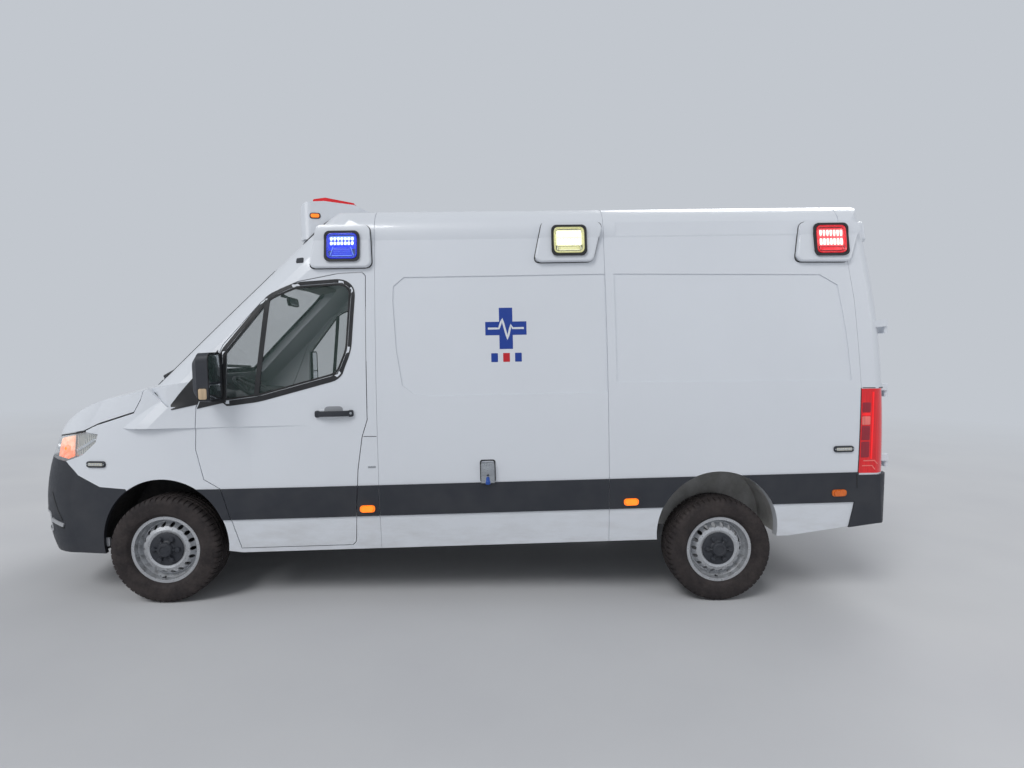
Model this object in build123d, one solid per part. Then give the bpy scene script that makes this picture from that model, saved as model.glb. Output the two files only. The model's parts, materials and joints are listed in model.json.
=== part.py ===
from build123d import *
from functools import cache
import math
import os

# A high-roof panel-van ambulance, in millimetres, +Z up, +X towards the nose, +Y the left side.
# The body is drawn level, with X measured from the front axle and Z from the ground below it.
# It is then tilted nose-down by RAKE, as the unladen vehicle stands, and moved so that the
# origin lies on the ground at the centre of the overall box.

# Overall sizes
WHEELBASE = 3665.0
TRACK_FRONT = 1732.0
TRACK_REAR = 1737.0
RAKE = 1.75
NOSE_X = 1004.0
REAR_X = -4861.0
ROOF_Z = 2605.0
SILL_Z = 318.0
SILL_HALF = 955.0
WAIST_Z = 950.0
WAIST_HALF = 995.0
SIDE_RADIUS = 7735.0
SHOULDER_Z = 2345.0
WALL = 65.0
SKIN = 30.0
REACH = 1300.0
MID = 300.0

# Gaps between pieces: round a moving panel, at a fixed seat, and pressed lines between fixed panels
SEAM = 5.0
SEAT_GAP = 0.3
GROOVE = 4.0

# The tail: it leans forward above TAIL_LEAN_Z, bows across by TAIL_BOW and has round corners
TAIL_LEAN_Z = 1100.0
TAIL_LEAN_RADIUS = 9000.0
TAIL_BOW = 40.0
TAIL_CORNER = 120.0
TAIL_FRONT_X = -3000.0
TAIL_HEIGHTS = (-400.0, 950.0, 1650.0, 2345.0, 2800.0)

# Windscreen: its foot on the centre line, and how far it rises for each millimetre back
SCREEN_FOOT_X = 200.0
SCREEN_FOOT_Z = 1415.0
SCREEN_RISE = 0.967
SCREEN_EDGE = 65.0
GLASS = 5.0
GLASS_INSET = 6.0

# The nose's foremost X at each height, as (Z, X)
NOSE_SLICES = (
    (200.0, 880.0), (420.0, 985.0), (620.0, NOSE_X), (880.0, 968.0), (1080.0, 895.0), (1500.0, 640.0),
)

# Panel seams along the side, as X from the front axle; the rear corner's seam as (X, Z)
B_SEAM = -1412.0
C_SEAM = -2925.0
ROOF_REAR_SEAM = -4530.0
D_SEAM = ((-4550, 290), (-4604, 636), (-4626, 1312), (-4600, 1900), (-4553, 2345), (-4500, 2800))

# Outlines on the side of the body, as (X, Z)
DOOR_OUTLINE = (
    (-506, 350), (-455, 547), (-400, 745), (-290, 813), (-248, 1008), (-268, 1281), (-440, 1677),
    (-680, 1950), (-800, 2030), (-921, 2078), (-1178, 2126), (-1330, 2133), (-1350, 2110),
    (-1348, 1176), (-1312, 1066), (-1279, 851), (-1247, 372), (-1225, 350),
)
WINDOW_OUTLINE = (
    (-432, 1318), (-442, 1620), (-732, 1975), (-911, 2050), (-1204, 2068), (-1262, 2022),
    (-1232, 1629), (-1169, 1475), (-660, 1345),
)
BONNET_OUTLINE = (
    (1100, 1085), (829, 1085), (535, 1128), (423, 1176), (158, 1252), (104, 1338), (75, 1414),
    (75, 1700), (1100, 1700),
)
HEADLAMP_OUTLINE = (
    (1100, 951), (1100, 1080), (829, 1080), (535, 1123), (427, 1107), (443, 1054), (544, 970), (664, 931),
    (822, 951),
)
WING_OUTLINE = (
    (423, 1171), (158, 1247), (104, 1333), (75, 1409), (60, 1409), (-83, 1286), (-263, 1286), (-243, 1008),
    (-285, 813), (-395, 745), (-451, 547), (-510, SILL_Z), (-5, 395), (242, 751), (422, 764), (577, 839),
    (664, 931), (544, 970), (443, 1054), (427, 1107),
)
BUMPER_OUTLINE = (
    (1100, 300), (459, 300), (-5, 395), (242, 751), (422, 764), (577, 839), (664, 931), (822, 951), (1100, 951),
)
CAB_OUTLINE = (
    (75, 1414), (104, 1338), (158, 1252), (423, 1176), (423, 1700), (-600, 2700), (B_SEAM, 2700),
    (B_SEAM, SILL_Z), (-510, SILL_Z), (-451, 547), (-395, 745), (-285, 813), (-243, 1008), (-263, 1286),
    (-83, 1286), (60, 1409),
)
RECESS_FRONT = (
    (-1527, 1951), (-1532, 2040), (-1600, 2098), (-2921, 2101), (-2921, 1321), (-1748, 1321), (-1652, 1336),
    (-1581, 1396), (-1546, 1623),
)
RECESS_REAR = (
    (-2984, 2101), (-4373, 2077), (-4492, 2004), (-4533, 1700), (-4561, 1366), (-2984, 1386),
)
SKIRT_CUT = ((-4082, 300), (-4082, 309), (-4552, 370), (-4700, 385), (-4700, 300))
SLIDER_OUTLINE = (
    (-1445, 360), (-1445, 2160), (-1475, 2225), (-1540, 2250), (-2680, 2250), (-2745, 2225), (-2775, 2160),
    (-2775, 360),
)
SLIDER_WINDOW = (
    (-1560, 1380), (-1560, 1990), (-1600, 2040), (-2600, 2040), (-2650, 1990), (-2650, 1380), (-2610, 1340),
    (-1600, 1340),
)
SLIDER_RAIL = ((-4380, 1235), (-2800, 1235), (-2800, 1195), (-4380, 1195))

# Outlines across the body, as (Y, Z)
WINDSCREEN_OUTLINE = (
    (-775, 1452), (775, 1452), (742, 1700), (700, 2110), (655, 2185), (-655, 2185), (-700, 2110), (-742, 1700),
)
REAR_WINDOW = ((110, 1400), (740, 1400), (770, 1440), (735, 2040), (690, 2080), (110, 2080))

# Grille between the headlamps, and the pockets in the front bumper as (Y range, Z range)
GRILLE_HALF = 430.0
GRILLE_LOW = 850.0
GRILLE_HIGH = 1080.0
SLATS = 4
BUMPER_POCKETS = (
    ((-430, 430), (400, 434)), ((-430, 430), (450, 484)), ((-430, 430), (500, 534)),
    ((570, 775), (462, 572)), ((-775, -570), (462, 572)),
)
POCKET_DEPTH = 22.0

# Lamp pods on each shoulder: outline as (X, Z), and the lamp's X range and Z range
PODS = (
    (((-1044, 2448), (-1384, 2444), (-1397, 2163), (-989, 2162)), (-1323, -1096), (2203, 2403)),
    (((-2516, 2458), (-2919, 2447), (-2847, 2182), (-2454, 2181)), (-2806, -2573), (2222, 2425)),
    (((-4257, 2432), (-4673, 2427), (-4577, 2158), (-4206, 2163)), (-4565, -4331), (2199, 2418)),
)
POD_PROUD = 34.0
POD_CORNER = 42.0
LAMP_SEAT = 0.1
LAMP_PROUD = 14.0
LENS_PROUD = 10.0
LAMP_FLOOR = 4.0
LAMP_CORNER = 35.0
BEZEL = 15.0

# Pods over the rear doors: the middle of their seat, their outward direction, and sizes
REAR_POD_AT = (-4738.0, 671.0, 2377.0)
REAR_POD_OUT = (-1.0, 0.11, 0.142)
REAR_POD_SIZE = (250.0, 144.0)
REAR_LAMP_SIZE = (164.0, 112.0)
REAR_POD_PROUD = 30.0
POD_EDGE = 14.0

# Amber side markers as (X, Z), and the charging inlet
MARKERS = ((-1335.0, 593.0), (-3070.0, 589.0), (-4477.0, 610.0))
MARKER_LENGTH = 76.0
MARKER_HEIGHT = 38.0
MARKER_PROUD = 22.0
INLET_X = (-2168.0, -2080.0)
INLET_TOP = 883.0
INLET_PROUD = 28.0

# Black rubbing strips along the sides
STRIP_LOW = 543.0
STRIP_HIGH = 747.0
STRIP_PROUD = 8.0

# Rear doors, their hinges and the lamps beside them
REAR_DOOR_LOW = 735.0
REAR_DOOR_HIGH = 2285.0
REAR_DOOR_HALF_LOW = 882.0
REAR_DOOR_HALF_HIGH = 812.0
REAR_DOOR_BEND_Z = 1250.0
REAR_DOOR_SHOULDER_Z = REAR_DOOR_HIGH - 60.0
HINGE_Y = 922.0
HINGE_FOOT = (-4842.0, 900.0)
HINGE_HEAD = (-4814.0, 2150.0)
BARREL_RADIUS = 11.0
BARREL_HEIGHT = 45.0
REAR_HINGE_Z = (810.0, 1290.0, 1720.0)
TAIL_LAMP = ((-4300, 744), (-4300, 1312), (-5000, 1304), (-5000, 736))
TAIL_LAMP_Y = HINGE_Y + 22.0

# Rear bumper: outline as (X, Z), and how far it stands behind the body
BUMPER_TOP = 728.0
REAR_BUMPER_OUTLINE = (
    (-4400, BUMPER_TOP), (-5100, BUMPER_TOP), (-5100, 520), (-4856, 500), (-4815, 394), (-4740, 386),
    (-4400, 346),
)
REAR_BUMPER_BACK = 16.0
STEP_HALF = 760.0

# Front doors: hinge line, the pads they meet, and the bonnet's hinge
DOOR_HINGE_Y = 997.0
BONNET_HINGE = (70.0, 0.0, 1420.0)
HINGE_PADS = ((-320.0, -225.0, 880.0, 950.0), (-320.0, -225.0, 1140.0, 1210.0))
LATCH_Z = (1180.0, 1240.0)
DOOR_FLANGE = 15.0
DOOR_STEP = 12.0
REAR_DOOR_GAP = 8.0
POST_X = (-300.0, -120.0)
POST_Z = (700.0, 1300.0)

# The cab's frame is pressed in four: two sides, the cowl and the header, which part at this Y
CAB_SPLIT_Y = 560.0

# Floors and the bulkhead between them
FLOOR_Z = 690.0
CAB_FLOOR_Z = 620.0
FLOOR_THICK = 50.0
LOAD_BACK = -4690.0
BULKHEAD_BACK = B_SEAM - 45.0
BULKHEAD_FRONT = B_SEAM - 15.0
DOORWAY_HALF = 310.0
DOORWAY_HIGH = 1980.0

# Wheel arches in the level body: centre X, centre Z, radius; then the housings behind them:
# how much wider than the arch, their inner Y, and how deep below the body's surface they end
ARCHES = (
    (-5.0, 395.0, 420.0),
    (5.0 - WHEELBASE, 365.0, 412.0),
)
HOUSINGS = (
    (*ARCHES[0], 20.0, 520.0, SKIN),
    (*ARCHES[1], 8.0, 640.0, WALL),
)
LINER = 4.0

# Wheels and tyres, 235/65 R16 on steel wheels
TYRE_RADIUS = 350.0
RIM_RADIUS = 220.0
RIM_WIDTH = 177.0
HUB_FACE = 62.0
HUB_RADIUS = 54.0
DISC_THICK = 6.0
BORE_RADIUS = 42.0
BOLT_CIRCLE = 130.0
BOLT_COUNT = 6
BOLT_HOLE = 7.5
VENT_COUNT = 18
VENT_RADIUS = 13.0
VENT_CIRCLE = 158.0

# Steering pivots, and the steering wheel on its column
KING_Y = 771.0
KING_LEAN = 10.0
KING_RADIUS = 18.0
WHEEL_CENTRE = (-470.0, 455.0, 1345.0)
WHEEL_LEAN = 32.0
COLUMN_RADIUS = 24.0
COLUMN_REACH = 230.0

# Frame rails and crossmembers
RAIL_Y = 430.0
RAIL_WIDTH = 80.0
RAIL_LOW = 520.0
CROSS_X = (-1000.0, -1800.0, -2700.0, -4400.0, -4680.0)
CROSS_WIDTH = 80.0

# Cab seats: each row gives the seat's name and its centre Y
SEATS = (("driver", 455.0), ("passenger", -455.0))

OUT = "parts"
SIDES = (("left", 1.0), ("right", -1.0))


# Shapes from outlines

def plane_at_x(x):
    return Plane(origin=(x, 0, 0), x_dir=(0, 1, 0), z_dir=(1, 0, 0))


def closed_outline(start, steps, flip):
    """Edges from start through lines and arcs, and the same edges mirrored by flip."""
    edges = []
    here = start
    for step in steps:
        end = step[-1]
        if len(step) == 1:
            edges.append(Line(here, end))
            edges.append(Line(flip(here), flip(end)))
        else:
            edges.append(ThreePointArc(here, step[0], end))
            edges.append(ThreePointArc(flip(here), flip(step[0]), flip(end)))
        here = end
    return make_face(edges)


def flip_across(point):
    return (-point[0], point[1])


def flip_along(point):
    return (point[0], -point[1])


def outline_face(points):
    return make_face(Polyline(*points, close=True))


def sweep_y(face, low, high):
    """Sweeps a face of (X, Z) points across the body from Y low to Y high."""
    return extrude(Plane(origin=(0, high, 0), x_dir=(1, 0, 0), z_dir=(0, -1, 0)) * face, amount=high - low)


def prism_y(points, low, high):
    return sweep_y(outline_face(points), low, high)


def grown_prism(points, amount):
    """A prism from MID outwards whose outline is moved out by amount."""
    return sweep_y(offset(outline_face(points), amount=amount, kind=Kind.INTERSECTION), MID, REACH)


def prism_x(points, low, high):
    """A prism along the body from an outline of (Y, Z) points."""
    return extrude(plane_at_x(low) * outline_face(points), amount=high - low)


def box(x0, x1, y0, y1, z0, z1):
    return Pos((x0 + x1) / 2, (y0 + y1) / 2, (z0 + z1) / 2) * Box(abs(x1 - x0), abs(y1 - y0), abs(z1 - z0))


def rounded_box(x_range, y_range, z_range, axis, radius):
    """A box whose edges along axis are round."""
    return fillet(box(*x_range, *y_range, *z_range).edges().filter_by(axis), radius)


def rod(start, end, radius):
    """A round bar between two points."""
    path = Vector(*end) - Vector(*start)
    return Plane(origin=start, z_dir=path.normalized()) * Cylinder(
        radius, path.length, align=(Align.CENTER, Align.CENTER, Align.MIN)
    )


def both_sides(shape):
    """The shape and its mirror image across the centre line."""
    return shape + mirror(shape, about=Plane.XZ)


def pair(shape):
    """The shape and its mirror image, kept apart as solids."""
    return Compound([*shape.solids(), *mirror(shape, about=Plane.XZ).solids()])


def gather(shapes):
    """Several shapes kept as the solids of one node."""
    return Compound([solid for shape in shapes for solid in shape.solids()])


def tilt(shape):
    """Leans a piece of the level body nose-down about the ground below the front axle."""
    return Rot(0, RAKE, 0) * shape


def of_side(shape, side):
    return shape if side > 0 else mirror(shape, about=Plane.XZ)


# The body's outer form, drawn in by d

def half_width(z):
    return WAIST_HALF - (z - WAIST_Z) ** 2 / (2 * SIDE_RADIUS)


def section(x, d):
    """The body's cross-section, drawn in by d all round."""
    steps = [
        ((SILL_HALF - d, -400.0),),
        ((SILL_HALF - d, SILL_Z),),
        ((WAIST_HALF - 10 - d, 600.0), (WAIST_HALF - d, WAIST_Z)),
        ((half_width(1650.0) - d, 1650.0), (half_width(SHOULDER_Z) - d, SHOULDER_Z)),
        ((838.0 - d, 2475.0 - d * 0.3), (735.0 - d, 2556.0 - d)),
        ((380.0, 2592.0 - d), (0.0, ROOF_Z - d)),
    ]
    return plane_at_x(x) * closed_outline((0.0, -400.0), steps, flip_across)


@cache
def tube(d):
    """The cross-section carried from end to end."""
    return extrude(section(-5000.0, d), amount=6200)


def screen_x(z, d):
    return SCREEN_FOOT_X - (z - SCREEN_FOOT_Z) / SCREEN_RISE - 1.44 * d


def screen_slice(z, front, reach=-5200.0):
    """A level slice behind the windscreen's surface: bowed across, swept back at the pillars."""
    w = half_width(z)
    steps = [
        ((front - 19, 0.33 * w), (front - 78, 0.655 * w)),
        ((front - 190, 0.885 * w), (front - 335, 0.985 * w)),
        ((front - 1500, 1.18 * w),),
        ((reach, 1.18 * w),),
        ((reach, 0.0),),
    ]
    return Plane.XY.offset(z) * closed_outline((front, 0.0), steps, flip_along)


def nose_slice(z, front, d):
    """A level slice of the nose: nearly flat across, round at the corners, then along the wings."""
    tip = front - d
    steps = [
        ((tip - 15, 280.0), (tip - 56, 552.0 - 0.5 * d)),
        ((tip - 140, 745.0 - 0.7 * d), (tip - 360, 855.0 - 0.9 * d)),
        ((60.0, 950.0 - d), (-600.0, WAIST_HALF - 10 - d)),
        ((B_SEAM, WAIST_HALF + 6 - d),),
        ((-2600.0, WAIST_HALF + 6 - d),),
        ((-2600.0, 0.0),),
    ]
    return Plane.XY.offset(z) * closed_outline((tip, 0.0), steps, flip_along)


def nose(d):
    """The nose below the bonnet's crown, which is turned about an upright axis behind the cab."""
    sides = loft([nose_slice(z, x, d) for z, x in NOSE_SLICES])
    turn_x = B_SEAM
    crown = make_face(
        [
            Line((turn_x, -400), (1100, -400)),
            Line((1100, -400), (1100, 1000)),
            Line((1100, 1000), (915 - d, 1080 - d)),
            ThreePointArc((915 - d, 1080 - d), (760 - 0.5 * d, 1240 - d), (480, 1357 - 1.05 * d)),
            ThreePointArc((480, 1357 - 1.05 * d), (200, 1430 - d), (-100, 1478 - d)),
            Line((-100, 1478 - d), (turn_x, 1478 - d)),
            Line((turn_x, 1478 - d), (turn_x, -400)),
        ]
    )
    return sides & revolve(Plane.XZ * crown, axis=Axis((turn_x, 0, 0), (0, 0, 1)), revolution_arc=360)


def over_cab(d):
    """The windscreen's slope and the roof's brow above it."""
    heights = (1150.0, 1900.0, 2650.0)
    slope = loft([screen_slice(z, screen_x(z, d)) for z in heights])
    brow = make_face(
        [
            Line((-5200, -400), (1200, -400)),
            Line((1200, -400), (1200, 1900)),
            Line((1200, 1900), (-600 - d, 2230 - d)),
            ThreePointArc((-600 - d, 2230 - d), (-900, 2450 - d), (B_SEAM, ROOF_Z - 1 - d)),
            Line((B_SEAM, ROOF_Z - 1 - d), (B_SEAM - 600, ROOF_Z + 5 - d)),
            Line((B_SEAM - 600, ROOF_Z + 5 - d), (-5200, ROOF_Z + 5 - d)),
            Line((-5200, ROOF_Z + 5 - d), (-5200, -400)),
        ]
    )
    return slope & extrude(Plane.XZ * brow, amount=1500, both=True)


def tail_slice(z, d):
    """A level slice of the tail: bowed across, round at the corners, then along the sides."""
    back = REAR_X + d + max(0.0, z - TAIL_LEAN_Z) ** 2 / (2 * TAIL_LEAN_RADIUS)
    side = half_width(max(z, WAIST_Z)) + 3 - d
    r = TAIL_CORNER - d
    corner_x = back + TAIL_BOW
    steps = [
        ((back + 0.25 * TAIL_BOW, 0.5 * (side - r)), (corner_x, side - r)),
        ((corner_x + 0.30 * r, side - 0.30 * r), (corner_x + 1.05 * r, side)),
        ((TAIL_FRONT_X, side),),
        ((TAIL_FRONT_X, 0.0),),
    ]
    return Plane.XY.offset(z) * closed_outline((back, 0.0), steps, flip_along)


def rear_end(d):
    """Everything in front of the tail's surface and under the roof's rounded end."""
    round_start = (REAR_X + 92 + d, 2420)
    under_roof = make_face(
        [
            Polyline(
                (REAR_X + 700, 2612 - d), (1200, 2700 - d), (1200, -400), (-5200, -400), (-5200, 2420),
                round_start,
            ),
            ThreePointArc(round_start, (REAR_X + 158 + d, 2532 - 0.7 * d), (REAR_X + 320, 2592 - d)),
            Line((REAR_X + 320, 2592 - d), (REAR_X + 700, 2612 - d)),
        ]
    )
    tail = loft([tail_slice(z, d) for z in TAIL_HEIGHTS])
    ahead = box(TAIL_FRONT_X - 5, 1200, -1200, 1200, -400, 2800)
    return (tail + ahead) & extrude(Plane.XZ * under_roof, amount=1500, both=True)


@cache
def envelope(d):
    """The whole outer form drawn in by d; its bottom runs on below the sills."""
    load_space = box(-5200, B_SEAM - 100, -1200, 1200, -400, 1300)
    return (tube(d) & rear_end(d)) & (nose(d) + over_cab(d) + load_space)


# Pieces by name; those of the level body are tilted and placed at the end
nodes = {}
level = set()


def keep(name, shape, on_body=True):
    nodes[name] = shape
    if on_body:
        level.add(name)


outer = envelope(0.0)
inner = envelope(WALL)
press = envelope(GLASS_INSET)
shell = outer - inner
skin = outer - envelope(SKIN)
surface = outer - press
glass_layer = press - envelope(GLASS_INSET + GLASS)

front_arch, rear_arch = [
    Plane(origin=(x, 0, z), x_dir=(1, 0, 0), z_dir=(0, -1, 0)) * Cylinder(r, 2 * REACH) for x, z, r in ARCHES
]


def seam_line(x, width):
    """A pressed line right round the body at X."""
    return box(x - width / 2, x + width / 2, -REACH, REACH, SILL_Z, 2800)


# Front end
bonnet_band = prism_y([(x, z + SEAM) for x, z in BONNET_OUTLINE], -REACH, REACH)
behind_bonnet, bonnet_gap, pad_reach = [
    extrude(
        Plane.XY.offset(-2400.0) * screen_slice(SCREEN_FOOT_Z, SCREEN_FOOT_X + SCREEN_EDGE + gap), amount=5600
    )
    for gap in (0.0, SEAM, SEAM - SEAT_GAP)
]
nose_skin = skin & box(-700, 1100, -REACH, REACH, SILL_Z, 1700)
keep("bonnet", (nose_skin & bonnet_band) - bonnet_gap)

door_hole = grown_prism(DOOR_OUTLINE, SEAM)
wing = (nose_skin & prism_y(WING_OUTLINE, MID, REACH)) - front_arch - door_hole
keep("wings", pair(wing))

bumper_zone = box(0, 1100, -REACH, REACH, SILL_Z, 1000)
bumper_shell = (skin & bumper_zone) & prism_y(BUMPER_OUTLINE, -REACH, REACH)
grille_notch = box(300, 1100, -GRILLE_HALF, GRILLE_HALF, GRILLE_LOW, 1000)
pocket_layer = (outer & bumper_zone) - envelope(POCKET_DEPTH)
pockets = [pocket_layer & box(550, 1100, *y_range, *z_range) for y_range, z_range in BUMPER_POCKETS]
keep("front_bumper", bumper_shell - front_arch - grille_notch - pockets)

headlamp = (shell & box(300, 1100, GRILLE_HALF, REACH, 900, 1200)) & prism_y(HEADLAMP_OUTLINE, MID, REACH)
keep("headlamps", pair(headlamp))

slat_pitch = (GRILLE_HIGH - GRILLE_LOW) / SLATS
grille_field = shell & box(300, 1100, -GRILLE_HALF, GRILLE_HALF, GRILLE_LOW, GRILLE_HIGH)
grille_holes = [
    box(300, 1100, y0, y1, GRILLE_LOW + i * slat_pitch + 22, GRILLE_LOW + (i + 1) * slat_pitch - 8)
    for i in range(SLATS)
    for y0, y1 in ((20 - GRILLE_HALF, -6), (6, GRILLE_HALF - 20))
]
keep("grille", grille_field - grille_holes)

# Linings of the wheel arches, and the two floors between them
floor_plate = inner & box(LOAD_BACK, BULKHEAD_BACK - SEAT_GAP, -REACH, REACH, FLOOR_Z - FLOOR_THICK, FLOOR_Z)
cab_floor = inner & box(BULKHEAD_FRONT, 60, -REACH, REACH, CAB_FLOOR_Z - FLOOR_THICK, CAB_FLOOR_Z)


def arch_round(x, z, radius, y0, y1):
    return Plane(origin=(x, y1, z), x_dir=(1, 0, 0), z_dir=(0, -1, 0)) * Cylinder(
        radius, y1 - y0, align=(Align.CENTER, Align.CENTER, Align.MIN)
    )


housings, housing_cuts = [], []
for x, z, r, wider, y_in, depth in HOUSINGS:
    round_out = arch_round(x, z, r + wider + LINER, y_in - LINER, REACH)
    round_in = arch_round(x, z, r + wider, y_in, REACH)
    upper = box(x - 600, x + 600, 0, REACH, SILL_Z + 12, 1200)
    housings.append(pair(((round_out - round_in) & upper) & envelope(depth)))
    housing_cuts.append(both_sides(round_out))
keep("wheel_housings", gather(housings))
keep("floor", gather([floor_plate - housing_cuts[1], cab_floor - housing_cuts[0]]))

# Cab shell with its door openings and windscreen
cab_shell = (shell & prism_y(CAB_OUTLINE, -REACH, REACH)) & behind_bonnet
screen_prism = prism_x(WINDSCREEN_OUTLINE, -1200, 600)
roof_zone = box(-5200, 400, -REACH, REACH, SHOULDER_Z, 2800)
door_edge_gap = door_hole - grown_prism(DOOR_OUTLINE, SEAT_GAP)
door_pads = [
    (shell & box(x0, x1, 925, 965, z0, z1)) & door_edge_gap for x0, x1, z0, z1 in HINGE_PADS
]
latch_foot = envelope(WALL - 10) & box(-1400, -1356, MID, REACH, *LATCH_Z)
latch_plate = envelope(WALL + SEAT_GAP) & box(-1358, -1305, MID, REACH, *LATCH_Z)
latch = (latch_foot + latch_plate) - envelope(WALL + 20)
bonnet_pad = ((nose_skin & pad_reach) - behind_bonnet) & box(0, 400, 600, 700, 1330, 1500)
post_layer = (envelope(SKIN) - inner) & box(*POST_X, MID, REACH, *POST_Z)
hinge_post = (post_layer - door_hole - housing_cuts[0]) + door_pads[0] + door_pads[1]
cab_open = cab_shell - screen_prism - roof_zone - door_hole - mirror(door_hole, about=Plane.XZ)
cab_whole = cab_open + both_sides(hinge_post) + both_sides(latch) + both_sides(bonnet_pad)
split = box(-1500, 500, CAB_SPLIT_Y, CAB_SPLIT_Y + SEAT_GAP, SILL_Z, 2800)
keep("cab_frame", cab_whole - both_sides(split))
keep("windscreen", (glass_layer & box(-1000, 400, -REACH, REACH, 1300, 2300)) & screen_prism)

# Front doors, drawn on the left, with the strip that each carries. Behind the skin's rear flange
# the door steps in, so that its inner corner clears the post as it swings
door_prism = prism_y(DOOR_OUTLINE, MID, REACH)
window_prism = prism_y(WINDOW_OUTLINE, MID, REACH)
rear_flange = envelope(DOOR_FLANGE) & box(-1400, -1150, MID, REACH, SILL_Z, 2200)
door_step = rear_flange - grown_prism(DOOR_OUTLINE, -DOOR_STEP)
door = (((shell & box(-1400, -200, MID, REACH, SILL_Z, 2200)) & door_prism) - window_prism) - door_step
door_glass = (glass_layer & box(-1400, -200, MID, REACH, 1200, 2200)) & window_prism
strip_band = (envelope(-STRIP_PROUD) - outer) & box(-5000, 0, MID, REACH, STRIP_LOW, STRIP_HIGH)
door_strip = strip_band & door_prism
mirror_head = loft(
    [
        Plane(origin=(x, 1090, 1478), x_dir=(0, 1, 0), z_dir=(-1, 0, 0)) * RectangleRounded(w, h, r)
        for x, w, h, r in ((-330, 120, 220, 40), (-370, 200, 300, 50), (-440, 205, 305, 50))
    ],
    ruled=True,
)
mirror_arm = prism_x(((930, 1330), (1050, 1335), (1050, 1375), (930, 1400)), -420, -370)
door_mirror = (mirror_head + mirror_arm) - outer
for side_name, side in SIDES:
    keep(f"front_door_{side_name}", of_side(door, side))
    keep(f"door_glass_{side_name}", of_side(door_glass, side))
    keep(f"door_strip_{side_name}", of_side(door_strip, side))
    keep(f"mirror_{side_name}", of_side(door_mirror, side))

# Load-space walls between the B seam and the rear corner, grooved where panels meet
behind_d = prism_y([(-5200, D_SEAM[0][1]), *D_SEAM, (-5200, D_SEAM[-1][1])], -REACH, REACH)
wall_zone = box(-4700, B_SEAM, MID, REACH, SILL_Z, SHOULDER_Z) - behind_d
wall = (shell & wall_zone) - rear_arch - prism_y(SKIRT_CUT, MID, REACH)
seam_grooves = seam_line(C_SEAM, GROOVE) + seam_line(B_SEAM, GROOVE) + Pos(GROOVE / 2, 0, 0) * behind_d
recess_rear = prism_y(RECESS_REAR, MID, REACH)
keep("side_left", wall - (surface & (prism_y(RECESS_FRONT, MID, REACH) + recess_rear + seam_grooves)))
slider_prism = prism_y(SLIDER_OUTLINE, MID, REACH)
slider_window = prism_y(SLIDER_WINDOW, MID, REACH)
slider_gap = grown_prism(SLIDER_OUTLINE, GROOVE) - slider_prism
pressed_right = surface & (recess_rear + seam_grooves + slider_gap + prism_y(SLIDER_RAIL, MID, REACH))
keep("side_right", mirror(wall - pressed_right - slider_prism, about=Plane.XZ))
slider = (shell & wall_zone) & slider_prism
keep("sliding_door", mirror(slider - slider_window, about=Plane.XZ))
keep("sliding_door_glass", mirror((glass_layer & wall_zone) & slider_window, about=Plane.XZ))


# Rear corners, header and doors

def rear_door_edge(z):
    """The rear door's outer edge as Y at height z."""
    share = max(0.0, (z - REAR_DOOR_BEND_Z) / (REAR_DOOR_SHOULDER_Z - REAR_DOOR_BEND_Z))
    return REAR_DOOR_HALF_LOW + share * (REAR_DOOR_HALF_HIGH - REAR_DOOR_HALF_LOW)


def rear_door_outline(grow, centre):
    return (
        (centre, REAR_DOOR_LOW - grow), (REAR_DOOR_HALF_LOW + grow, REAR_DOOR_LOW - grow),
        (REAR_DOOR_HALF_LOW + grow, REAR_DOOR_BEND_Z), (REAR_DOOR_HALF_HIGH + grow, REAR_DOOR_SHOULDER_Z),
        (REAR_DOOR_HALF_HIGH - 50, REAR_DOOR_HIGH + grow), (centre, REAR_DOOR_HIGH + grow),
    )


def hinge_plane(z):
    """A plane across the rear door's hinge line at height z, with its own Z along the line."""
    run = HINGE_HEAD[0] - HINGE_FOOT[0]
    rise = HINGE_HEAD[1] - HINGE_FOOT[1]
    x = HINGE_FOOT[0] + run * (z - HINGE_FOOT[1]) / rise
    return Plane(origin=(x, HINGE_Y, z), x_dir=(rise, 0, -run), z_dir=(run, 0, rise))


barrel_low = Pos(0, 0, -SEAT_GAP - BARREL_HEIGHT / 2) * Cylinder(BARREL_RADIUS, BARREL_HEIGHT)
barrel_high = Pos(0, 0, BARREL_HEIGHT / 2) * Cylinder(BARREL_RADIUS, BARREL_HEIGHT)
arm_form = box(-4, 110, 0, 20, 0, BARREL_HEIGHT) + barrel_high
hinge_arms = [(hinge_plane(z) * arm_form) - outer for z in REAR_HINGE_Z]


def hinge_leaf(z):
    """The door's half of a hinge: a foot on its edge, a strap and the lower barrel."""
    edge = rear_door_edge(z) - HINGE_Y
    foot = box(-6, 60, edge - 40, edge - SEAM, -SEAT_GAP - BARREL_HEIGHT, -SEAT_GAP)
    strap = box(-6, 5, edge - 40, 0, -SEAT_GAP - BARREL_HEIGHT, -SEAT_GAP)
    return (hinge_plane(z) * (foot + strap + barrel_low)) - outer


rear_zone = box(-5100, -4400, -REACH, REACH, BUMPER_TOP, SHOULDER_Z) & behind_d
rear_shell = shell & rear_zone
rear_hole = both_sides(prism_x(rear_door_outline(SEAM, 0.0), -5100, -4690))
tail_lamp_prism = prism_y(TAIL_LAMP, TAIL_LAMP_Y, REACH)
keep("tail_lamps", pair(rear_shell & tail_lamp_prism))
frame_arms = both_sides(hinge_arms[0] + hinge_arms[1] + hinge_arms[2])
keep("rear_frame", (rear_shell - rear_hole - both_sides(tail_lamp_prism)) + frame_arms)
rear_window_prism = prism_x(REAR_WINDOW, -5100, -4690)
rear_panel = (rear_shell & prism_x(rear_door_outline(0.0, REAR_DOOR_GAP / 2), -5100, -4690)) - rear_window_prism
rear_door = rear_panel + hinge_leaf(REAR_HINGE_Z[0]) + hinge_leaf(REAR_HINGE_Z[1]) + hinge_leaf(REAR_HINGE_Z[2])
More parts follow.
